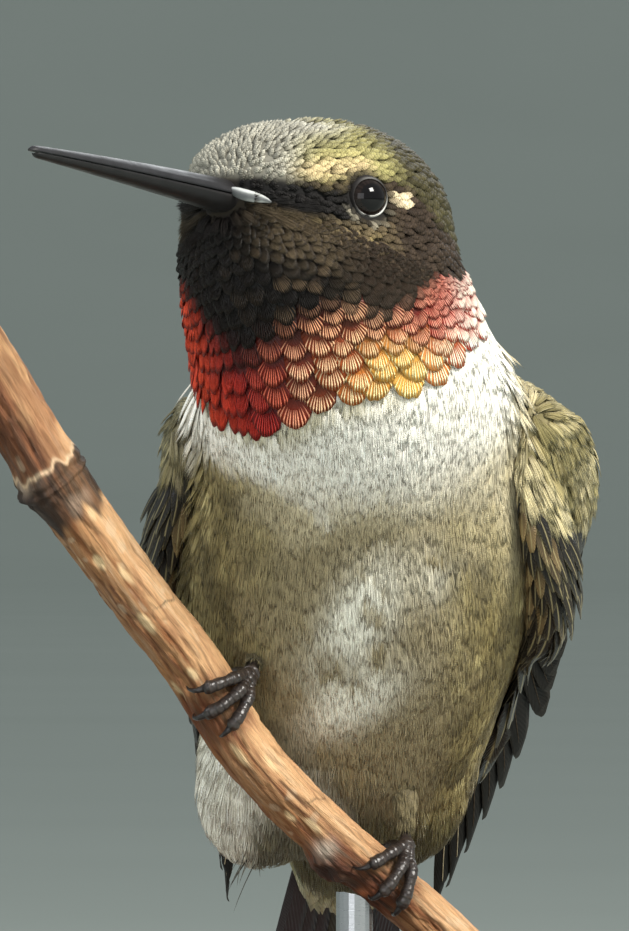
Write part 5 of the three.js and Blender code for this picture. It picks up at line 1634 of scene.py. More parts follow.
def make_tail():
    p42 = rad(42)
    a, c, n = trunk_dir(0, math.cos(p42), -math.sin(p42)), trunk_dir(1, 0, 0), trunk_dir(0, math.sin(p42), math.cos(p42))
    w0 = trunk_point(0, 10.6, -11.6)

    def at(s, v, h):
        s, v, h = np.broadcast_arrays(np.asarray(s, float), np.asarray(v, float), np.asarray(h, float))
        return w0 + a * s[..., None] + c * v[..., None] + n * h[..., None]

    H = lambda s, v: -0.035 * v * v - 0.1 * np.abs(v)
    pile = Pile()
    for side in (1, -1):
        for i in range(5):
            e = i / 4
            s1, v1 = 26.0 - 5.2 * (1 - e ** 0.9), lerp(0.6, 5.0, e) * side
            v0 = (0.25 + 0.30 * i) * side
            off = 0.52 - 0.09 * i - (0.03 if side < 0 else 0)
            path = lambda u, s1=s1, v0=v0, v1=v1: (lerp(1.0, s1, u), v0 + (v1 - v0) * u ** 1.15)
            wn = 0.78 - 0.09 * i                                        # outer feathers narrower
            wi = 1.35 - 0.10 * i
            pt = 0.16 + 0.05 * i                                        # and more pointed
            body_w = lambda u, pt=pt: (0.5 + 0.5 * smooth(0.0, 0.35, u)) * np.clip(1 - (np.clip(u - (1 - pt), 0, 1) / pt) ** 1.7, 0, 1)
            o = lambda u, w=wn, f=body_w: w * f(u) + 0.03
            inn = lambda u, w=wi, f=body_w: w * f(u) + 0.03
            # negative x is the outer side: mirror for the bird's right
            O, I = (inn, o) if side > 0 else (o, inn)
            green = 1.0 if i == 0 else (0.35 if i == 1 else 0.0)
            tn = 0.9 + 0.06 * i

            def tcol(X, U, green=green, tn=tn):
                c0 = mix(np.broadcast_to(srgb(42, 38, 44), X.shape + (3,)), srgb(70, 84, 42), np.full(X.shape, green * 0.8) * (1 - 0.5 * U))
                return c0 * tn * (0.85 + 0.3 * U[..., None])

            long_vane(pile, at, path, H, O, I, tcol, K=22, M=7, off=off, seed=700 + i + (10 if side > 0 else 0), uv0=(0.1 + 0.08 * (i + (5 if side > 0 else 0)), 0.3), rachis=(0.14, 0.03), rachis_col=srgb(70, 62, 54))
    # coverts under the tail: soft pointed feathers in rows, from the vent back
    rng = np.random.default_rng(77)
    T = 96
    s0 = np.sort(rng.uniform(-3.4, 7.5, T))[::-1]
    v0 = rng.uniform(-1, 1, T) * np.interp(s0, [-3.4, 2, 7.5], [4.6, 3.4, 2.2])
    L = rng.uniform(4.2, 5.6, T)
    k = np.linspace(0, 1, 5)
    S_, V_ = s0[:, None] + L[:, None] * k, v0[:, None] * (1 - 0.30 * k)
    Hh = H(S_, V_) - np.interp(S_, [-4, 1, 7, 13], [1.5, 1.7, 0.9, 0.25]) * np.sqrt(np.clip(1 - (V_ / 5.6) ** 2, 0.05, 1))
    P_ = at(S_, V_, Hh)
    D_ = unit(np.gradient(P_, axis=1))
    Nn = unit(np.broadcast_to(-n, P_.shape) + 0.12 * V_[..., None] * c)
    Nn = unit(Nn - D_ * (Nn * D_).sum(-1, keepdims=True))
    tone = rng.uniform(0.8, 1.2, T)[:, None, None, None]

    def ucol(x, s):
        cc = mix(np.broadcast_to(srgb(124, 116, 70), x.shape + (3,)), srgb(188, 184, 158), smooth(0.62, 1.0, np.maximum(np.abs(x), s)) * 0.75)
        return cc * tone * (0.62 + 0.45 * s)[..., None]

    under = Pile()
    vanes(under, P_, Nn, D_, rng.uniform(0.75, 1.05, T), np.stack([0.5 + v0 * 0.02, 0.93 + s0 * 0.004], -1), ucol, K=7, M=7, tip=0.46, base_w=0.5, h0=-0.12, h1=rng.uniform(0.05, 0.22, T), cup=0.12, thick=0.05, ragged=0.14, rng=rng, tip_w=0.72)
    print("undertail", under.triangles())
    under.make("coat_undertail", plumage_material("undertail", rough=0.6, spec=0.3, barbs=60, barb_slope=1.4, barb_depth=0.30, noise_scale=2600, rachis=0.35), "plumage_body")
    mat = plumage_material("rectrix", rough=0.36, spec=0.5, barbs=230, barb_slope=7.0, barb_depth=0.22, noise_scale=1500, dark=0.7, light=1.3, metal=0.12)
    ob = pile.make("tail_feathers", mat, "tail_feathers")
    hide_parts("tail")
    print("tail", pile.triangles())
# ------------------------------------------------------- bill, eyes and feet
BILL_DROP, BILL_ROOT, BILL_TIP, BILL_CURVE, BILL_SPLIT = 0.80, 4.6, 24.05, 0.28, 0.07


def bill_shape(x):
    t = np.maximum(0, (BILL_TIP - x) / (BILL_TIP - BILL_ROOT))
    sm = smooth(0.8, 1, t)
    return (0.24 + 1.15 * t ** 0.85 + 0.55 * sm, 0.24 + 0.70 * t ** 0.8 + 0.16 * sm, 0.22 + 0.86 * t ** 0.95 + 0.24 * sm,
            -BILL_DROP - BILL_CURVE * (1 - t) ** 2 - 0.1 * smooth(0.75, 1, t))


def close_loft(R, apexA, apexB):
    """Corners and faces of a closed loft through rings R [n,m,3], faces turned outward."""
    n, m = R.shape[:2]
    i = np.arange((n - 1) * m).reshape(n - 1, m)
    j = np.roll(i, -1, 1)
    q = np.stack([i, j, j + m, i + m], -1).reshape(-1, 4)
    v = np.concatenate([R.reshape(-1, 3), [apexA, apexB]])
    k = np.arange(m)
    last = (n - 1) * m
    t = np.concatenate([np.stack([np.full(m, n * m), (k + 1) % m, k], -1), np.stack([np.full(m, n * m + 1), last + k, last + (k + 1) % m], -1)])
    c = v.mean(0)
    vol = (np.cross(v[q[:, 0]] - c, v[q[:, 1]] - c) * (v[q[:, 2]] - c)).sum() + (np.cross(v[q[:, 0]] - c, v[q[:, 2]] - c) * (v[q[:, 3]] - c)).sum() + (np.cross(v[t[:, 0]] - c, v[t[:, 1]] - c) * (v[t[:, 2]] - c)).sum()
    if vol < 0:
        q, t = q[:, ::-1], t[:, ::-1]
    return v, q, t


def plain_uv(n, m, extra=2):
    u, v = np.meshgrid(np.arange(m) / m, np.linspace(0.01, 0.99, n))
    return np.concatenate([np.stack([u, v], -1).reshape(-1, 2), [[0.5, 0.0], [0.5, 1.0]]])


def make_bill():
    n, m = 90, 36
    mats = {}
    for upper in (True, False):
        tip = BILL_TIP - (0.33 if upper else 0.68)
        e = np.linspace(0, 1, n)
        x = lerp(BILL_ROOT, tip, e ** 0.94)
        w, top, low, z = bill_shape(x)
        round_tip = np.sqrt(np.clip(1 - (np.clip(x - (tip - 0.35), 0, 1) / 0.40) ** 2, 0.02, 1))
        sg = 1 if upper else -1
        h = (top if upper else low) * round_tip
        w = w * round_tip
        R = []
        tc = (BILL_TIP - x) / (BILL_TIP - BILL_ROOT)
        for k in range(n):
            ring = []
            na = 24
            for i in range(na + 1):
                a = i / na * math.pi
                cx, sy = math.cos(a), math.sin(a)
                hh = h[k] * sy ** 0.92
                if upper:
                    # a narrow raised culmen, and a long groove with the nostril under its flap
                    hh += 0.05 * h[k] * math.exp(-((a - math.pi / 2) / 0.22) ** 2)
                    g = math.exp(-((a - rad(38)) / 0.13) ** 2) + math.exp(-((a - rad(142)) / 0.13) ** 2)
                    hh -= 0.10 * h[k] * g * float(smooth(0.25, 0.9, tc[k]))
                    slit = g * math.exp(-(((x[k] - 6.6) / 0.9) ** 2)) * 0.12
                    hh -= slit
                else:
                    g = math.exp(-((a - math.pi / 2) / 0.16) ** 2)
                    hh -= 0.05 * h[k] * g * float(smooth(0.4, 0.9, tc[k]))
                ring.append(head_point(x[k], cx * w[k], z[k] + sg * (BILL_SPLIT * 0.5 + hh)))
            for i in range(1, m - na):
                f = 1 - 2 * i / (m - na)
                ring.append(head_point(x[k], -w[k] * f, z[k] + sg * (BILL_SPLIT * 0.5 + 0.05 * (1 - f * f))))
            R.append(ring)
        R = np.array(R)
        v, q, t = close_loft(R, head_point(x[0], 0, z[0] + sg * 0.3), head_point(x[-1] + 0.05, 0, z[-1] + sg * 0.09))
        f, l, u = head_coords(v)
        base = smooth(10.0, 6.8, f)
        n1 = noise3(v * np.array([1, 1, 1]), 0.5, 51)
        # the upper mandible a little lighter and bluer than the lower: painted reflection from above
        c = mix(np.broadcast_to(srgb(30, 30, 33) if upper else srgb(20, 19, 20), v.shape), srgb(40, 36, 35), base * 0.6)
        c = c * (0.85 + 0.3 * n1)[:, None]
        name = "bill_upper" if upper else "bill_lower"
        nm = Net("horn_" + name)
        o = nm.coords()
        st = nm.noise(nm.scaled(o, (1, 1, 1)), 1300, 4, 0.6)
        cc = nm.mixc(nm.attr(), nm.ramp(st, [(0.3, 0.6), (0.7, 1.35)]), 0.7, "MULTIPLY")
        rr = nm.ramp(nm.noise(o, 700, 3), [(0.3, 0.42), (0.7, 0.58)])
        mt = nm.set(color=cc, rough=rr, spec=0.28, normal=nm.bump(nm.noise(o, 2600, 3), 0.35, 0.00003))
        ob = make_mesh(name + "_horn", v, q, t, c, plain_uv(n, m), None, mt)
        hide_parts(name)


def make_gape():
    """The bare flap at each side of the bill's base, with pale lines along its edges that are painted highlight."""
    rng = np.random.default_rng(61)
    nm = Net("flap")
    st = nm.noise(nm.scaled(nm.coords(), (1, 1, 1)), 2600, 3, 0.6)
    mt = nm.set(color=nm.mixc(nm.attr(), nm.ramp(st, [(0.3, 0.75), (0.7, 1.15)]), 0.8, "MULTIPLY"), rough=0.42, spec=0.5, normal=nm.bump(st, 0.4, 0.00003))
    n, m = 34, 20
    line = np.array([[8.75, 0.95, -0.52], [8.42, 1.22, -0.66], [8.19, 1.66, -0.80], [7.96, 2.18, -0.90], [7.68, 2.67, -0.99], [7.40, 3.08, -1.12]])
    for sg in (1, -1):
        L = np.stack([head_point(f, l * sg, u) for f, l, u in line])
        k = np.linspace(0, len(L) - 1, n)
        ki = np.minimum(k.astype(int), len(L) - 2)
        P = catmull(L, ki, k - ki)
        for _ in range(3):
            g = grad(P)
            P = P - g * ((body(P) - 0.22) / np.maximum(1e-6, (g * g).sum(-1)))[:, None]
        N = unit(grad(P))
        D = unit(np.gradient(P, axis=0))
        N = unit(N - D * (N * D).sum(-1, keepdims=True))
        U = np.cross(N, D) * sg
        U = U * np.sign(U[:, 2:3])
        e = np.linspace(0, 1, n)
        half = 0.31 * np.sin(math.pi * np.clip(e, 0.02, 0.98) ** 0.85) ** 0.75
        a = np.linspace(0, 2 * math.pi, m, endpoint=False)
        R = P[:, None] + U[:, None] * (np.cos(a)[None] * half[:, None])[..., None] + N[:, None] * (np.sin(a)[None] * 0.09 * np.sin(math.pi * np.clip(e, 0.03, 0.97))[:, None] + 0.05 * (1 - np.cos(a)[None] ** 2))[..., None]
        ca = np.broadcast_to(np.cos(a)[None], (n, m))
        # pale lines along the flap's two edges: painted highlight
        ridge = np.clip(np.exp(-((ca - 0.75) / 0.30) ** 2) + 0.9 * np.exp(-((ca + 0.80) / 0.28) ** 2) * smooth(0.35, 0.8, e)[:, None], 0, 1) * np.sin(math.pi * np.clip(e, 0.02, 0.98))[:, None] ** 0.5
        C = mix(np.broadcast_to(srgb(78, 80, 80), (n, m, 3)), srgb(190, 192, 188), ridge)
        v, q, t = close_loft(R, P[0], P[-1])
        c = np.concatenate([C.reshape(-1, 3), [C[0].mean(0), C[-1].mean(0)]])
        make_mesh("bill_flap_" + ("left" if sg > 0 else "right"), v, q, t, c, plain_uv(n, m), None, mt)


def make_eyes():
    for side in ("left", "right"):
        en, ec = EYES[side]
        ux = unit(np.cross(en, [0, 0, 1.0]))
        vx = np.cross(ux, en)
        n, m = 48, 64
        th = np.linspace(0.02, math.pi - 0.02, n)
        ph = np.linspace(0, 2 * math.pi, m, endpoint=False)
        T, PH = np.meshgrid(th, ph, indexing="ij")
        # the cornea stands a little proud of the ball
        r = EYE_R * (1 + 0.035 * smooth(rad(52), rad(20), T))
        R = ec + en * (r * np.cos(T))[..., None] + ux * (r * np.sin(T) * np.cos(PH))[..., None] + vx * (r * np.sin(T) * np.sin(PH))[..., None]
        v, q, t = close_loft(R, ec + en * EYE_R * 1.035, ec - en * EYE_R)
        d = v - ec
        ang = np.degrees(np.arccos(np.clip((unit(d) * en).sum(-1), -1, 1)))
        az = np.arctan2(d @ vx, d @ ux)
        fibre = 0.8 + 0.35 * np.sin(az * 34 + 3 * np.sin(az * 7))
        iris = np.broadcast_to(srgb(27, 20, 17), v.shape) * fibre[:, None]
        c = mix(iris, srgb(9, 8, 9), smooth(35, 31, ang))
        c = mix(c, srgb(20, 14, 12), smooth(50, 55, ang))
        nm = Net("eye_" + side)
        o = nm.coords()
        cc = nm.mixc(nm.attr(), nm.ramp(nm.noise(o, 2400, 3), [(0.3, 0.7), (0.7, 1.3)]), 0.5, "MULTIPLY")
        mt = nm.set(color=cc, rough=0.05, spec=0.22)
        ob = make_mesh("eyeball_" + side, v, q, t, c, plain_uv(n, m), None, mt)
        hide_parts("eye_" + side)


PERCH = np.array([
    [-19.2, 57.9, 1.80], [-17.16, 54.51, 1.79], [-13.97, 49.22, 1.74], [-9.54, 42.95, 1.65], [-6.78, 39.43, 1.62],
    [-3.38, 34.19, 1.60], [-0.62, 31.22, 1.53], [2.30, 28.62, 1.47], [5.86, 25.54, 1.43], [7.70, 23.81, 1.41], [9.3, 22.3, 1.40]])
_pp = np.stack([PERCH[:, 0], Y0 + 5.4 + 0.66 * (PERCH[:, 0] + 6.8), PERCH[:, 1]], -1)
_k = np.linspace(0, len(_pp) - 1, 2001)
_ki = np.minimum(_k.astype(int), len(_pp) - 2)
_pc = catmull(_pp, _ki, _k - _ki)
_pl = np.concatenate([[0], np.cumsum(np.sqrt((np.diff(_pc, axis=0) ** 2).sum(-1)))])
PERCH_LEN = float(_pl[-1])


def perch_at(w):
    """Centre, tangent, front, upper side and radius of the branch at w mm from its upper end."""
    w = np.asarray(w, float)
    g = lambda x: np.stack([np.interp(np.clip(x, 0, PERCH_LEN), _pl, _pc[:, i]) for i in range(3)], -1)
    c = g(w)
    t = unit(g(w + 0.15) - g(w - 0.15))
    front = unit(np.array([0, -1.0, 0]) + t * t[..., 1:2])
    side = unit(np.cross(t, front))
    side = np.where(side[..., 2:3] < 0, -side, side)
    return c, t, front, side, np.interp(c[..., 0], PERCH[:, 0], PERCH[:, 2])


def near_w(x):
    return float(_pl[np.argmin(np.abs(_pc[:, 0] - x))])


NODE_W, KNOT_W = near_w(-14.2), near_w(1.45)


def make_perch():
    n, m = 520, 132
    w = np.linspace(0, PERCH_LEN, n)
    a = np.linspace(0, 2 * math.pi, m, endpoint=False)
    c, t, fr, sd, r = perch_at(w)
    Wg, Ag = np.meshgrid(w, a, indexing="ij")
    da = lambda ang, sp: np.exp(-(np.arctan2(np.sin(Ag - ang), np.cos(Ag - ang)) / sp) ** 2)
    k = r[:, None] * (1 + 0.02 * np.sin(3 * Ag + 1 + Wg * 0.15))
    k = k + 0.20 * np.exp(-((Wg - NODE_W) / 0.9) ** 2) + 0.32 * np.exp(-((Wg - NODE_W - 0.4) / 1.1) ** 2) * da(rad(-80), 0.9)
    k = k + 0.62 * np.exp(-((Wg - KNOT_W) / 1.15) ** 2) * da(rad(-72), 0.85)
    # noise that runs in long grains: places on a cylinder, stretched along it
    Q = lambda st, tw=0.10: np.stack([np.cos(Ag + Wg * tw * 0.3) * 1.6, np.sin(Ag + Wg * tw * 0.3) * 1.6, Wg / st], -1)
    g1, g2, g3 = fbm(Q(7.0), 0.55, 61), fbm(Q(5.0), 0.28, 62), fbm(Q(12.0), 0.9, 63)
    plates = noise3(Q(3.0), 1.4, 64)
    fiss = smooth(0.50, 0.34, g1) * smooth(0.30, 0.62, plates + 0.25)
    fine = smooth(0.46, 0.30, g2)
    crack = np.exp(-((noise3(Q(16), 0.75, 66) - 0.5) / 0.018) ** 2) * smooth(0.45, 0.7, noise3(Q(9), 1.7, 67))
    lump = (g3 - 0.5)
    kd = 0.16 * (g2 - 0.5) + 0.14 * lump - 0.13 * fiss - 0.07 * fine - 0.12 * crack
    # the node: a collar of lifted bark with a dark groove
    nd = np.exp(-((Wg - NODE_W + 0.12 * np.sin(3 * Ag)) / 0.22) ** 2)
    nd2 = np.exp(-((Wg - NODE_W - 0.55 + 0.15 * np.sin(2 * Ag + 1)) / 0.16) ** 2)
    kd = kd - 0.16 * nd - 0.10 * nd2 + 0.10 * np.exp(-((Wg - NODE_W - 0.28) / 0.16) ** 2)
    peel = smooth(0.55, 0.75, noise3(Q(2.2), 1.1, 68)) * np.exp(-((Wg - NODE_W) / 3.6) ** 2)
    kd = kd - 0.09 * peel
    # the knot: a rounded lip round a small dark hollow
    dk = np.sqrt(((Wg - KNOT_W) / 0.75) ** 2 + (np.arctan2(np.sin(Ag - rad(-62)), np.cos(Ag - rad(-62))) / 0.42) ** 2)
    kd = kd + 0.16 * np.exp(-((dk - 1.15) / 0.3) ** 2) - 0.34 * np.exp(-(dk / 0.72) ** 2)
    dk2 = np.sqrt(((Wg - KNOT_W - 2.5) / 0.50) ** 2 + (np.arctan2(np.sin(Ag - rad(-56)), np.cos(Ag - rad(-56))) / 0.34) ** 2)
    kd = kd + 0.12 * np.exp(-dk2 ** 2)
    kd = kd + 0.30 * np.exp(-(((Wg - KNOT_W + 1.30) / 0.62) ** 2) - (np.arctan2(np.sin(Ag - rad(-26)), np.cos(Ag - rad(-26))) / 0.42) ** 2)
    endf = np.minimum(smooth(0, 0.25, Wg), smooth(0, 0.25, PERCH_LEN - Wg))
    kk = (k + kd) * (0.97 + 0.03 * endf)
    R = c[:, None] + fr[:, None] * (np.cos(Ag) * kk)[..., None] + sd[:, None] * (np.sin(Ag) * kk)[..., None]
    # end faces: rings of a clean cut
    rings = [R]
    capA, capB = [], []
    for e in (0.93, 0.75, 0.55, 0.35, 0.15):
        capA.append(c[0] + (R[0] - c[0]) * e + t[0] * 0.04 * (1 - e))
        capB.append(c[-1] + (R[-1] - c[-1]) * e - t[-1] * 0.04 * (1 - e))
    full = np.concatenate([np.array(capA[::-1]), R, np.array(capB)])
    v, q, tr = close_loft(full, c[0] + t[0] * 0.04, c[-1] - t[-1] * 0.04)
    # colours: cream and tan streaks over red-brown, a dark node, a knot
    cream, tan, red, dark, gold = srgb(246, 218, 180), srgb(222, 172, 122), srgb(166, 104, 64), srgb(72, 44, 30), srgb(212, 158, 94)
    s1, s2, s3 = fbm(Q(15.0), 0.42, 74), fbm(Q(9.0), 0.20, 75), noise3(Q(4.0), 1.2, 76)
    val = 0.50 * s1 + 0.50 * s2
    cc = mix(np.broadcast_to(red, R.shape), tan, smooth(0.36, 0.50, val + 0.10 * (s3 - 0.5)))
    cc = mix(cc, cream, smooth(0.52, 0.68, val + 0.14 * (s3 - 0.5)) * 0.75)
    cc = mix(cc, dark, np.clip(smooth(0.35, 0.27, val) * 0.55 + fine * 0.14 + crack * 0.9, 0, 1))
    big = noise3(Q(6), 1.9, 70)
    cc = mix(cc, gold, smooth(0.55, 0.78, big) * 0.45)
    # painted shade on the branch's lower side and painted light on its upper side
    shaded_low_side = smooth(0.35, -0.55, np.sin(Ag) + 0.25 * (s3 - 0.5))
    cc = mix(cc, srgb(140, 92, 54), shaded_low_side * 0.70)
    lit_side = smooth(-0.12, 0.32, np.sin(Ag) + 0.2 * (s3 - 0.5))
    cc = mix(cc, srgb(234, 186, 138), lit_side * 0.58)
    # redder and darker above the node; on the lower side it is darker still, which is painted shade
    cc = mix(cc, srgb(140, 88, 58), smooth(NODE_W, NODE_W - 1.5, Wg) * smooth(0.46, 0.60, noise3(Q(3.0), 0.8, 85)) * 0.6)
    cc = mix(cc, mix(np.broadcast_to(srgb(132, 82, 54), R.shape), srgb(88, 52, 34), smooth(0.40, 0.60, s2)), smooth(NODE_W + 0.5, NODE_W - 1.5, Wg) * smooth(0.45, -0.10, np.sin(Ag) + 0.25 * (s3 - 0.5)) * 0.75)
    # long thin splits that follow the grain
    for a0_, sd_ in ((-64, 1), (-50, 2), (-37, 3), (-26, 4), (-12, 5), (3, 6), (16, 7), (33, 8), (52, 9)):
        wig = rad(a0_) + 0.10 * np.sin(Wg * 0.35 + sd_) + 0.04 * np.sin(Wg * 1.3 + 2 * sd_)
        on = smooth(0.50, 0.60, noise3(np.stack([np.full_like(Wg, 3.1 * sd_), Wg / 3.2, 0 * Wg], -1), 1.0, 90 + sd_))
        cc = mix(cc, srgb(92, 52, 30), np.clip(da(wig, rad(2.6)) * on, 0, 1) * (0.85 if a0_ < 10 else 0.5))
    len_ = smooth(0.72, 0.84, noise3(np.stack([np.cos(Ag) * 1.6, np.sin(Ag) * 1.6, Wg / 1.5], -1), 0.46, 72)) * smooth(0.45, 0.6, noise3(Q(3), 2.0, 79))
    cc = mix(cc, srgb(250, 232, 200), len_ * 0.25)
    for w0_, a0_, lw_ in ((12.9, 21, 0.6), (15.15, -63, 0.5), (15.35, -21, 0.55), (16.9, 6, 0.9), (19.9, -21, 0.75), (23.95, -9, 0.45), (24.5, -60, 0.8),
                          (29.35, -18, 0.9), (30.75, 21, 0.8), (34.0, -26, 0.55), (35.0, -9, 0.6)):
        spot = np.sqrt(((Wg - w0_) / lw_) ** 2 + (np.arctan2(np.sin(Ag - rad(a0_)), np.cos(Ag - rad(a0_))) / 0.16) ** 2) + 0.9 * (noise3(Q(2.0), 0.35, 81) - 0.5)
        cc = mix(cc, srgb(250, 218, 168), smooth(1.2, 0.4, spot) * 0.85)
    # cross cracks
    for w0_, a0_, sp_, sl_ in ((near_w(-9.1), rad(50), 0.7, 0.0), (34.45, rad(48), 0.62, 0.7)):
        ck = np.exp(-((Wg - w0_ - sl_ * (Ag - a0_) + 0.18 * np.sin(5 * Ag) + 0.10 * np.sin(11 * Ag)) / 0.055) ** 2) * da(a0_, sp_)
        cc = mix(cc, srgb(60, 38, 26), ck * 0.85)
    # the node: jagged edge of pale bark, then a dark worn band
    jag = 0.9 * (noise3(np.stack([np.cos(Ag) * 1.6, np.sin(Ag) * 1.6, np.zeros_like(Ag)], -1), 0.45, 80) - 0.5)
    band = smooth(-0.75, -0.62, Wg - NODE_W + jag) * smooth(2.9, 2.1, Wg - NODE_W + 2.2 * jag)
    cc = mix(cc, mix(np.broadcast_to(srgb(104, 72, 50), R.shape), srgb(48, 34, 28), smooth(0.35, 0.62, s2)), band * 0.88)
    cc = mix(cc, srgb(38, 30, 26), band * np.clip(da(rad(-80), 0.8) + da(rad(88), 0.34), 0, 1) * 0.85)
    cc = mix(cc, cream, np.exp(-((Wg - NODE_W + 0.82 + jag) / 0.13) ** 2) * 0.7)
    cc = mix(cc, srgb(236, 206, 180), peel * band * 0.5)
    cc = mix(cc, srgb(84, 50, 32), np.clip(da(rad(12), rad(3.0)) * smooth(31.6, 32.0, Wg) * smooth(34.5, 34.1, Wg), 0, 1) * 0.9)
    # darker red-brown bark round each foot: on the upper side near the toes, and all round the lower half
    for w_ in FOOT.values():
        foot_patch = np.exp(-((Wg - w_ - 0.4 + 1.2 * (s3 - 0.5)) / 1.9) ** 4) * smooth(rad(78), rad(50), Ag) * smooth(0.30, 0.50, s1 + 0.15)
        foot_patch = np.where(Ag > math.pi, np.exp(-((Wg - w_ - 0.5 + 1.2 * (s3 - 0.5)) / 1.9) ** 4), foot_patch)
        cc = mix(cc, mix(np.broadcast_to(srgb(112, 60, 38), R.shape), srgb(66, 36, 26), smooth(0.40, 0.60, s2)), foot_patch * 0.72)
    # the knot: a pale lumpy lip above a dark hollow with orange wood in it
    # round the knot on the branch's lower side the bark is darker red-brown, partly painted shade
    zone = smooth(KNOT_W - 2.2, KNOT_W - 1.2, Wg + 0.8 * (s3 - 0.5)) * smooth(KNOT_W + 5.0, KNOT_W + 3.6, Wg) * smooth(0.16, -0.10, np.sin(Ag) + 0.3 * (s3 - 0.5))
    cc = mix(cc, mix(np.broadcast_to(srgb(116, 66, 42), R.shape), srgb(58, 34, 25), smooth(0.42, 0.60, s2)), zone * 0.85)
    # the hollow and dark streaks beside it painted near black: painted shade in the recess
    cc = mix(cc, srgb(44, 28, 22), np.clip(np.exp(-(dk / 0.95) ** 2) + smooth(0.55, 0.35, s2) * np.exp(-((Wg - KNOT_W - 0.6) / 1.4) ** 2) * da(rad(-55), 0.7), 0, 1) * 0.9)
    cc = mix(cc, srgb(226, 134, 84), np.exp(-(dk2 / 0.75) ** 2) * 0.92)
    dk3 = np.sqrt(((Wg - KNOT_W + 1.30) / 0.55) ** 2 + (np.arctan2(np.sin(Ag - rad(-26)), np.cos(Ag - rad(-26))) / 0.38) ** 2)
    cc = mix(cc, srgb(206, 190, 172), np.exp(-dk3 ** 2) * 0.85)
    wood = srgb(222, 190, 146)
    cap = []
    for e, cen in ((0.15, 0), (0.35, 0), (0.55, 0), (0.75, 0), (0.93, 0)):
        cap.append(np.broadcast_to(wood * (0.82 + 0.18 * math.sin(e * 40)), (m, 3)))
    cap = np.array(cap)
    col = np.concatenate([cap.reshape(-1, 3), cc.reshape(-1, 3), cap[::-1].reshape(-1, 3), [srgb(150, 110, 76), srgb(150, 110, 76)]])
    uu, vv = np.meshgrid(np.arange(m) / m, np.linspace(0.01, 0.99, len(full)))
    uv = np.concatenate([np.stack([uu, vv], -1).reshape(-1, 2), [[0.5, 0.0], [0.5, 1.0]]])
    nm = Net("bark")
    o = nm.coords()
    # grain along the branch's own run, read from its unwrap
    um = nm.new("ShaderNodeUVMap", uv_map="fea")
    st = nm.scaled(um.outputs[0], (60, 9, 1))
    gr = nm.noise(st, 3.0, 5, 0.65, distort=0.4)
    st2 = nm.scaled(um.outputs[0], (200, 22, 1))
    gr2 = nm.noise(st2, 2.0, 3, 0.6)
    b = nm.mixc(nm.attr(), nm.ramp(gr, [(0.30, 0.66), (0.50, 1.0), (0.72, 1.2)]), 0.85, "MULTIPLY")
    b = nm.mixc(b, nm.ramp(gr2, [(0.33, 0.74), (0.6, 1.08)]), 0.75, "MULTIPLY")
    hgt = nm.math("ADD", gr, nm.math("MULTIPLY", gr2, 0.6))
    mt = nm.set(color=b, rough=nm.ramp(gr, [(0.3, 0.85), (0.7, 0.52)]), spec=0.35, normal=nm.bump(hgt, 0.9, 0.00024))
    ob = make_mesh("perch_bark", v, q, tr, col, uv, uv, mt)
    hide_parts("perch")


TOE_R = 0.36
FOOT = {"right": near_w(-5.55), "left": near_w(3.45)}
KNUCKLE = 84


def toe_line(w, frm, to, dw0, dw1, n):
    e = np.linspace(0, 1, n)
    a = np.radians(lerp(frm, to, e))
    c, t, fr, sd, r = perch_at(w + lerp(dw0, dw1, e ** 0.8))
    lift = 0.10 + np.where(e > 0.72, 0.26 * np.sin((e - 0.72) / 0.28 * math.pi), 0) + 0.22 * smooth(0.2, 0, e)
    joint = 1 + 0.16 * np.cos(e * math.pi * 3.2) ** 2
    rr = np.where(e < 0.72, TOE_R * joint, lerp(TOE_R * 0.86, 0.13, np.clip((e - 0.72) / 0.28, 0, 1)))
    k = r * 1.03 + rr + lift
    up = fr * np.cos(a)[:, None] + sd * np.sin(a)[:, None]
    return e, c + up * k[:, None], rr, up


def tube(P, r, up, m, squash=1.0, wob=None):
    d = unit(np.gradient(P, axis=0))
    U = unit(up - d * (up * d).sum(-1, keepdims=True))
    S = np.cross(d, U)
    a = np.linspace(0, 2 * math.pi, m, endpoint=False)
    rr = r[:, None] * (wob if wob is not None else 1.0)
    return P[:, None] + U[:, None] * (np.cos(a)[None] * rr)[..., None] + S[:, None] * (np.sin(a)[None] * rr * squash)[..., None], a


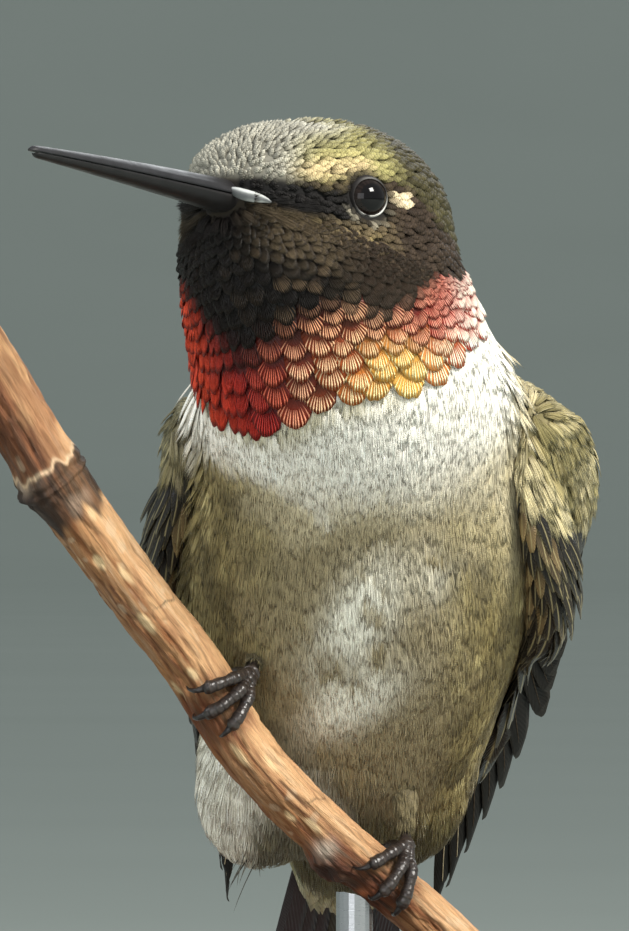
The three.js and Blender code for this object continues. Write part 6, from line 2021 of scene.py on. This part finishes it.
def make_feet():
    for side in ("right", "left"):
        w = FOOT[side]
        c, t, fr, sd, r = perch_at(np.array([w]))
        c, t, fr, sd, r = c[0], t[0], fr[0], sd[0], float(r[0])
        a = rad(KNUCKLE)
        kn = c + fr * math.cos(a) * (r + TOE_R + 0.42) + sd * math.sin(a) * (r + TOE_R + 0.42)
        toes = ([(KNUCKLE, -34, 0, -1.75), (KNUCKLE, -58, 0, 0.05), (KNUCKLE, -30, 0, 1.7), (KNUCKLE, 214, 0, 0.3)] if side == "right"
                else [(KNUCKLE, -20, 0, -2.3), (KNUCKLE, -50, 0, -0.2), (KNUCKLE, -46, 0, 1.6), (KNUCKLE, 214, 0, 0.2)])
        V, Q, T, C, F = [], [], [], [], []
        base = 0

        def put(v, q, t_, col, fea):
            nonlocal base
            V.append(v)
            Q.append(q + base)
            T.append(t_ + base)
            C.append(col)
            F.append(fea)
            base += len(v)

        for ti, (f0, f1, d0, d1) in enumerate(toes):
            n, m = 96, 22
            e, P, rr, up = toe_line(w, f0, f1, d0, d1, n)
            run = np.concatenate([[0], np.cumsum(np.sqrt((np.diff(P, axis=0) ** 2).sum(-1)))])
            # scutes: overlapping plates across the top; pads swell below; then the claw
            scute = (run / 0.34) % 1.0
            claw = smooth(0.70, 0.76, e)
            am = np.linspace(0, 2 * math.pi, m, endpoint=False)
            topside = smooth(-0.1, 0.6, np.cos(am))[None]
            wob = 1 + (1 - claw)[:, None] * (0.13 * (scute[:, None] ** 0.6 - 0.55) * topside + 0.05 * np.sin(run[:, None] * 7.5) * (1 - topside))
            r2 = np.where(e < 0.72, rr * (0.92 + 0.14 * np.exp(-((e - 0.695) / 0.03) ** 2)), rr * 0.92)
            # the claw tapers to a sharp, hooked point
            ce = np.clip((e - 0.72) / 0.28, 0, 1)
            r2 = np.where(e >= 0.72, lerp(TOE_R * 0.72, 0.035, ce ** 0.9), r2)
            hook = -up * (0.30 * ce ** 2)[:, None]
            R, _ = tube(P + hook, r2, up, m, 0.92, wob)
            v, q, tt = close_loft(R, P[0], P[-1] + hook[-1] + unit(P[-1] - P[-3]) * 0.05)
            sc = np.repeat(scute, m)
            cl = np.repeat(claw, m)
            col = mix(np.broadcast_to(srgb(42, 35, 32), (n * m, 3)), srgb(20, 17, 16), smooth(0.25, 0.0, sc) * 0.9)
            col = mix(col, srgb(92, 78, 68), smooth(0.80, 1.0, sc) * 0.30)
            col = mix(col, srgb(30, 25, 24), cl)
            col = np.concatenate([col, col[:1], col[-1:]])
            fe = np.concatenate([np.stack([np.tile(am / math.pi - 1, n), np.repeat(e, m)], -1), [[0, 0], [0, 1]]])
            put(v, q, tt, col, fe)
        # the knuckle where the toes meet, and the shank up into the feathers
        hip = trunk_point(-4.6, -1.2, -4.6) if side == "right" else trunk_point(3.4, 4.2, -10.6)
        d = unit(hip - kn)
        ln = np.linspace(-0.35, 3.4, 46)
        P = kn + d * ln[:, None]
        rr = 0.30 + 0.24 * np.exp(-((ln - 0.0) / 0.34) ** 2) + 0.04 * smooth(1.0, 3.0, ln)
        rr[:4] *= np.array([0.35, 0.7, 0.88, 0.97])
        sc = (ln / 0.36) % 1.0
        am = np.linspace(0, 2 * math.pi, 24, endpoint=False)
        wob = 1 + 0.08 * (sc[:, None] ** 0.6 - 0.5) * smooth(-0.2, 0.6, np.cos(am))[None]
        R, _ = tube(P, rr, np.broadcast_to(fr, P.shape), 24, 0.95, wob)
        v, q, tt = close_loft(R, P[0] - d * 0.05, P[-1] + d * 0.1)
        col = mix(np.broadcast_to(srgb(50, 42, 38), (46 * 24, 3)), srgb(26, 22, 20), smooth(0.25, 0.0, np.repeat(sc, 24)) * 0.9)
        col = np.concatenate([col, col[:1], col[-1:]])
        put(v, q, tt, col, np.concatenate([np.stack([np.tile(am / math.pi - 1, 46), np.repeat(np.linspace(0, 1, 46), 24)], -1), [[0, 0], [0, 1]]]))
        nm = Net("foot_skin_" + side)
        o = nm.coords()
        vor = nm.voronoi(o, 5200)
        cc = nm.mixc(nm.attr(), nm.ramp(vor, [(0.0, 1.25), (0.6, 0.75)]), 0.6, "MULTIPLY")
        mt = nm.set(color=cc, rough=nm.ramp(nm.noise(o, 2500, 3), [(0.3, 0.28), (0.7, 0.46)]), spec=0.42, coat=0.12, coat_rough=0.25, normal=nm.bump(vor, 0.6, 0.00004))
        fe = np.concatenate(F)
        uv = np.stack([fe[:, 0] * 0.5 + 0.5, fe[:, 1]], -1)
        ob = make_mesh("foot_scutes_" + side, np.concatenate(V), np.concatenate(Q), np.concatenate(T), np.concatenate(C), uv, fe, mt)
        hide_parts("foot_" + side)


def make_leg_feathers():
    """Soft plumes round the shanks, where the legs leave the body."""
    for side in ("right", "left"):
        rng = np.random.default_rng(91 if side == "right" else 92)
        w = FOOT[side]
        c, t, fr, sd, r = perch_at(np.array([w]))
        c, fr, sd, r = c[0], fr[0], sd[0], float(r[0])
        a = rad(KNUCKLE)
        kn = c + fr * math.cos(a) * (r + TOE_R + 0.42) + sd * math.sin(a) * (r + TOE_R + 0.42)
        hip = trunk_point(-4.6, -1.2, -4.6) if side == "right" else trunk_point(3.4, 4.2, -10.6)
        d = unit(hip - kn)
        U = unit(fr - d * (fr @ d))
        S = np.cross(d, U)
        T = 90
        far = rng.uniform(1.9, 4.2, T)
        an = rng.uniform(0, 2 * math.pi, T)
        L = rng.uniform(1.2, 1.8, T)
        k = np.linspace(0, 1, 4)
        wide = lambda x: 0.33 + 0.10 * np.clip(x - 0.8, 0, 4)
        x = far[:, None] - L[:, None] * k
        rr = np.where(x < far[:, None], wide(np.maximum(x, 0.5)), wide(far[:, None])) * (1 + 0.10 * rng.normal(0, 1, (T, 1)))
        dirn = U * np.cos(an)[:, None] + S * np.sin(an)[:, None]
        pts = kn + d * x[..., None] + dirn[:, None] * rr[..., None]
        D = unit(np.gradient(pts, axis=1))
        N = np.broadcast_to(dirn[:, None], pts.shape)
        N = unit(N - D * (N * D).sum(-1, keepdims=True))
        base_c = srgb(128, 117, 88)

        def lc(Q, s, e):
            f = noise3(Q.reshape(-1, 3), 0.6, 93).reshape(Q.shape[:-1])
            return mix(np.broadcast_to(base_c, Q.shape), srgb(112, 102, 72), smooth(0.4, 0.7, f) * 0.6)

        uvr = np.stack([0.3 + 0.1 * an / 6.3, 0.9 + 0.01 * far], -1)
        hair_tufts("leg_plumes_" + side, pts[:, 0], None, None, plumage_material("leg_plumes_" + side, rough=0.8, spec=0.15, barb_depth=0.0, noise_scale=1600, dark=0.88, light=1.08, sheen=0.15), "leg_feathers",
                   L, 0.30, 9, 0.036, rng, lines=(pts, N, D), colour=lc, uvr=uvr, h0=-0.10, h1=0.10, root_dark=0.8, tip_pale=1.1, lift_noise=0.06, flat=0.1, frizz=0.05)


def make_wisps():
    """A few long loose barbs that hang from the vent."""
    rng = np.random.default_rng(95)
    T, K = 13, 6
    k = np.linspace(0, 1, K)
    root = trunk_point(-4.6, 7.2, -13.2) + np.array([0.3, 1.2, -3.0])
    P0 = root + rng.normal(0, 0.6, (T, 3)) * np.array([0.7, 0.8, 0.9])
    D = unit(np.array([-0.58, 0.05, -0.80]) + rng.normal(0, 0.16, (T, 3)))
    L = rng.uniform(1.4, 3.6, T)
    bend = rng.normal(0, 0.22, (T, 1, 3)) + np.array([0.25, 0, -0.55])
    pts = P0[:, None] + D[:, None] * (L[:, None] * k)[..., None] + bend * (k ** 2)[None, :, None]
    d = unit(np.gradient(pts, axis=1))
    N = unit(np.array([0, -1.0, 0]) - d * (d @ np.array([0, -1.0, 0]))[..., None])
    S = np.cross(d, N)
    pile = Pile()
    col = mix(np.broadcast_to(srgb(52, 48, 42), (T, K, 3)), srgb(120, 116, 104), np.broadcast_to(rng.random((T, 1)), (T, K)))
    strands(pile, pts, S, N, np.broadcast_to(0.034 * (1.1 - 0.7 * k), (T, K)), col, np.broadcast_to(np.array([0.3, 0.95]), (T, K, 2)) + 0.0015 * np.stack([np.zeros((T, K)), np.broadcast_to(k, (T, K))], -1), np.zeros(T))
    pile.make("vent_wisps", plumage_material("wisps", rough=0.7, spec=0.2, barb_depth=0.0), "leg_feathers")


def make_stand():
    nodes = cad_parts
    nm = Net("walnut")
    o = nm.coords()
    # growth rings of a flat-sawn board, turned to a disc
    w = nm.scaled(o, (1, 0.16, 1), loc=(0.013, 0, 0.03))
    d1 = nm.noise(nm.scaled(o, (1, 0.25, 1)), 60, 4, 0.6)
    wv = nm.new("ShaderNodeTexWave", wave_type="RINGS", rings_direction="Y", wave_profile="SAW")
    nm.put(wv, "Vector", w)
    wv.inputs["Scale"].default_value = 85
    wv.inputs["Distortion"].default_value = 5.5
    wv.inputs["Detail"].default_value = 3
    wv.inputs["Detail Scale"].default_value = 1.2
    rings = wv.outputs["Fac"]
    pores = nm.noise(nm.scaled(o, (14, 1.1, 14)), 330, 3, 0.7)
    c = nm.ramp(rings, [(0.0, srgb(74, 50, 34)), (0.55, srgb(104, 72, 48)), (1.0, srgb(60, 40, 28))])
    c = nm.mixc(c, nm.ramp(d1, [(0.3, 0.75), (0.7, 1.2)]), 0.8, "MULTIPLY")
    c = nm.mixc(c, srgb(34, 22, 15), nm.ramp(pores, [(0.30, 0.75), (0.40, 0.0)]))
    mt = nm.set(color=c, rough=nm.ramp(pores, [(0.3, 0.5), (0.6, 0.34)]), spec=0.5, coat=0.25, coat_rough=0.22, normal=nm.bump(pores, 0.25, 0.0001))
    b = nodes["stand_base"]
    b.data.materials.clear()
    b.data.materials.append(mt)
    ns = Net("brushed_steel")
    o = ns.coords()
    br = ns.noise(ns.scaled(o, (1, 1, 26)), 900, 3, 0.6)
    br2 = ns.noise(o, 240, 2)
    c = ns.mixc(srgb(176, 178, 180), srgb(150, 152, 156), br)
    st = ns.set(color=c, metal=1.0, rough=ns.ramp(br, [(0.3, 0.24), (0.7, 0.40)]), normal=ns.bump(br, 0.15, 0.00003))
    for k in ("stand_rod_lower", "stand_rod_upper"):
        nodes[k].data.materials.clear()
        nodes[k].data.materials.append(st)
    for k in ("stand_base", "stand_rod_lower", "stand_rod_upper"):
        me = nodes[k].data
# ------------------------------------------------- camera, light, floor, end
def make_stage():
    sc = bpy.context.scene
    D, lens_y = 1.0, -0.008
    cam = bpy.data.objects.new("camera", bpy.data.cameras.new("camera"))
    sc.collection.objects.link(cam)
    cam.location = (0, -D, 0.050)
    cam.rotation_euler = (math.pi / 2, 0, 0)
    cam.data.lens = 36.0 * (D + lens_y) / 0.050324
    cam.data.clip_start, cam.data.clip_end = 0.1, 40
    sc.camera = cam

    def area(name, loc, target, size, power, color=(1, 1, 1), size_y=None):
        L = bpy.data.lights.new(name, "AREA")
        L.shape = "RECTANGLE"
        L.size, L.size_y = size, size_y or size
        L.energy, L.color = power, color
        o = bpy.data.objects.new(name, L)
        o.location = loc
        o.rotation_euler = (Vector(target) - Vector(loc)).to_track_quat("-Z", "Y").to_euler()
        sc.collection.objects.link(o)
        return o

    mid = (0.0, 0.0, 0.045)
    area("key", (0.46, -0.42, 0.54), mid, 0.24, 11.0, (1.0, 0.965, 0.90))
    area("fill", (-0.52, -0.16, 0.62), mid, 0.34, 3.0, (0.90, 0.95, 1.0))
    area("front", (-0.30, -0.95, 0.20), mid, 0.60, 3.3, (0.98, 0.98, 1.0))
    area("back", (0.15, 0.60, 0.42), mid, 0.40, 2.4, (0.95, 0.98, 1.0))

    w = bpy.data.worlds.new("studio")
    w.use_nodes = True
    w.node_tree.nodes["Background"].inputs[0].default_value = (0.80, 0.83, 0.84, 1)
    w.node_tree.nodes["Background"].inputs[1].default_value = 0.68
    sc.world = w

    # a pale plain floor that sweeps up into a backdrop well behind
    n = 24
    prof = [(-12.0, 0.0), (6.5, 0.0)] + [(6.5 + 4.0 * math.sin(a), 4.0 - 4.0 * math.cos(a)) for a in np.linspace(0.08, math.pi / 2, n)] + [(10.5, 9.0)]
    v, f = [], []
    for x in (-14.0, 14.0):
        for y, z in prof:
            v.append((x, y, z))
    m = len(prof)
    for i in range(m - 1):
        f.append((i, m + i, m + i + 1, i + 1))
    me = bpy.data.meshes.new("floor")
    me.from_pydata(v, [], f)
    for p in me.polygons:
        p.use_smooth = True
    fl = bpy.data.objects.new("floor", me)
    sc.collection.objects.link(fl)
    nt = Net("floor")
    c = nt.mixc(srgb(164, 173, 167), srgb(158, 167, 161), nt.noise(nt.coords(), 6, 2))
    me.materials.append(nt.set(color=c, rough=0.75, spec=0.2))
    sc.view_settings.view_transform = "Standard"
    sc.view_settings.look = "None"
    sc.view_settings.exposure = 0.0


# ------------------------------------------------------------------ assembly
make_stage()
make_skin()
make_coat()
make_wing(1)
make_wing(-1)
make_tail()
make_bill()
make_gape()
make_eyes()
make_perch()
make_feet()
make_leg_feathers()
make_wisps()
make_stand()
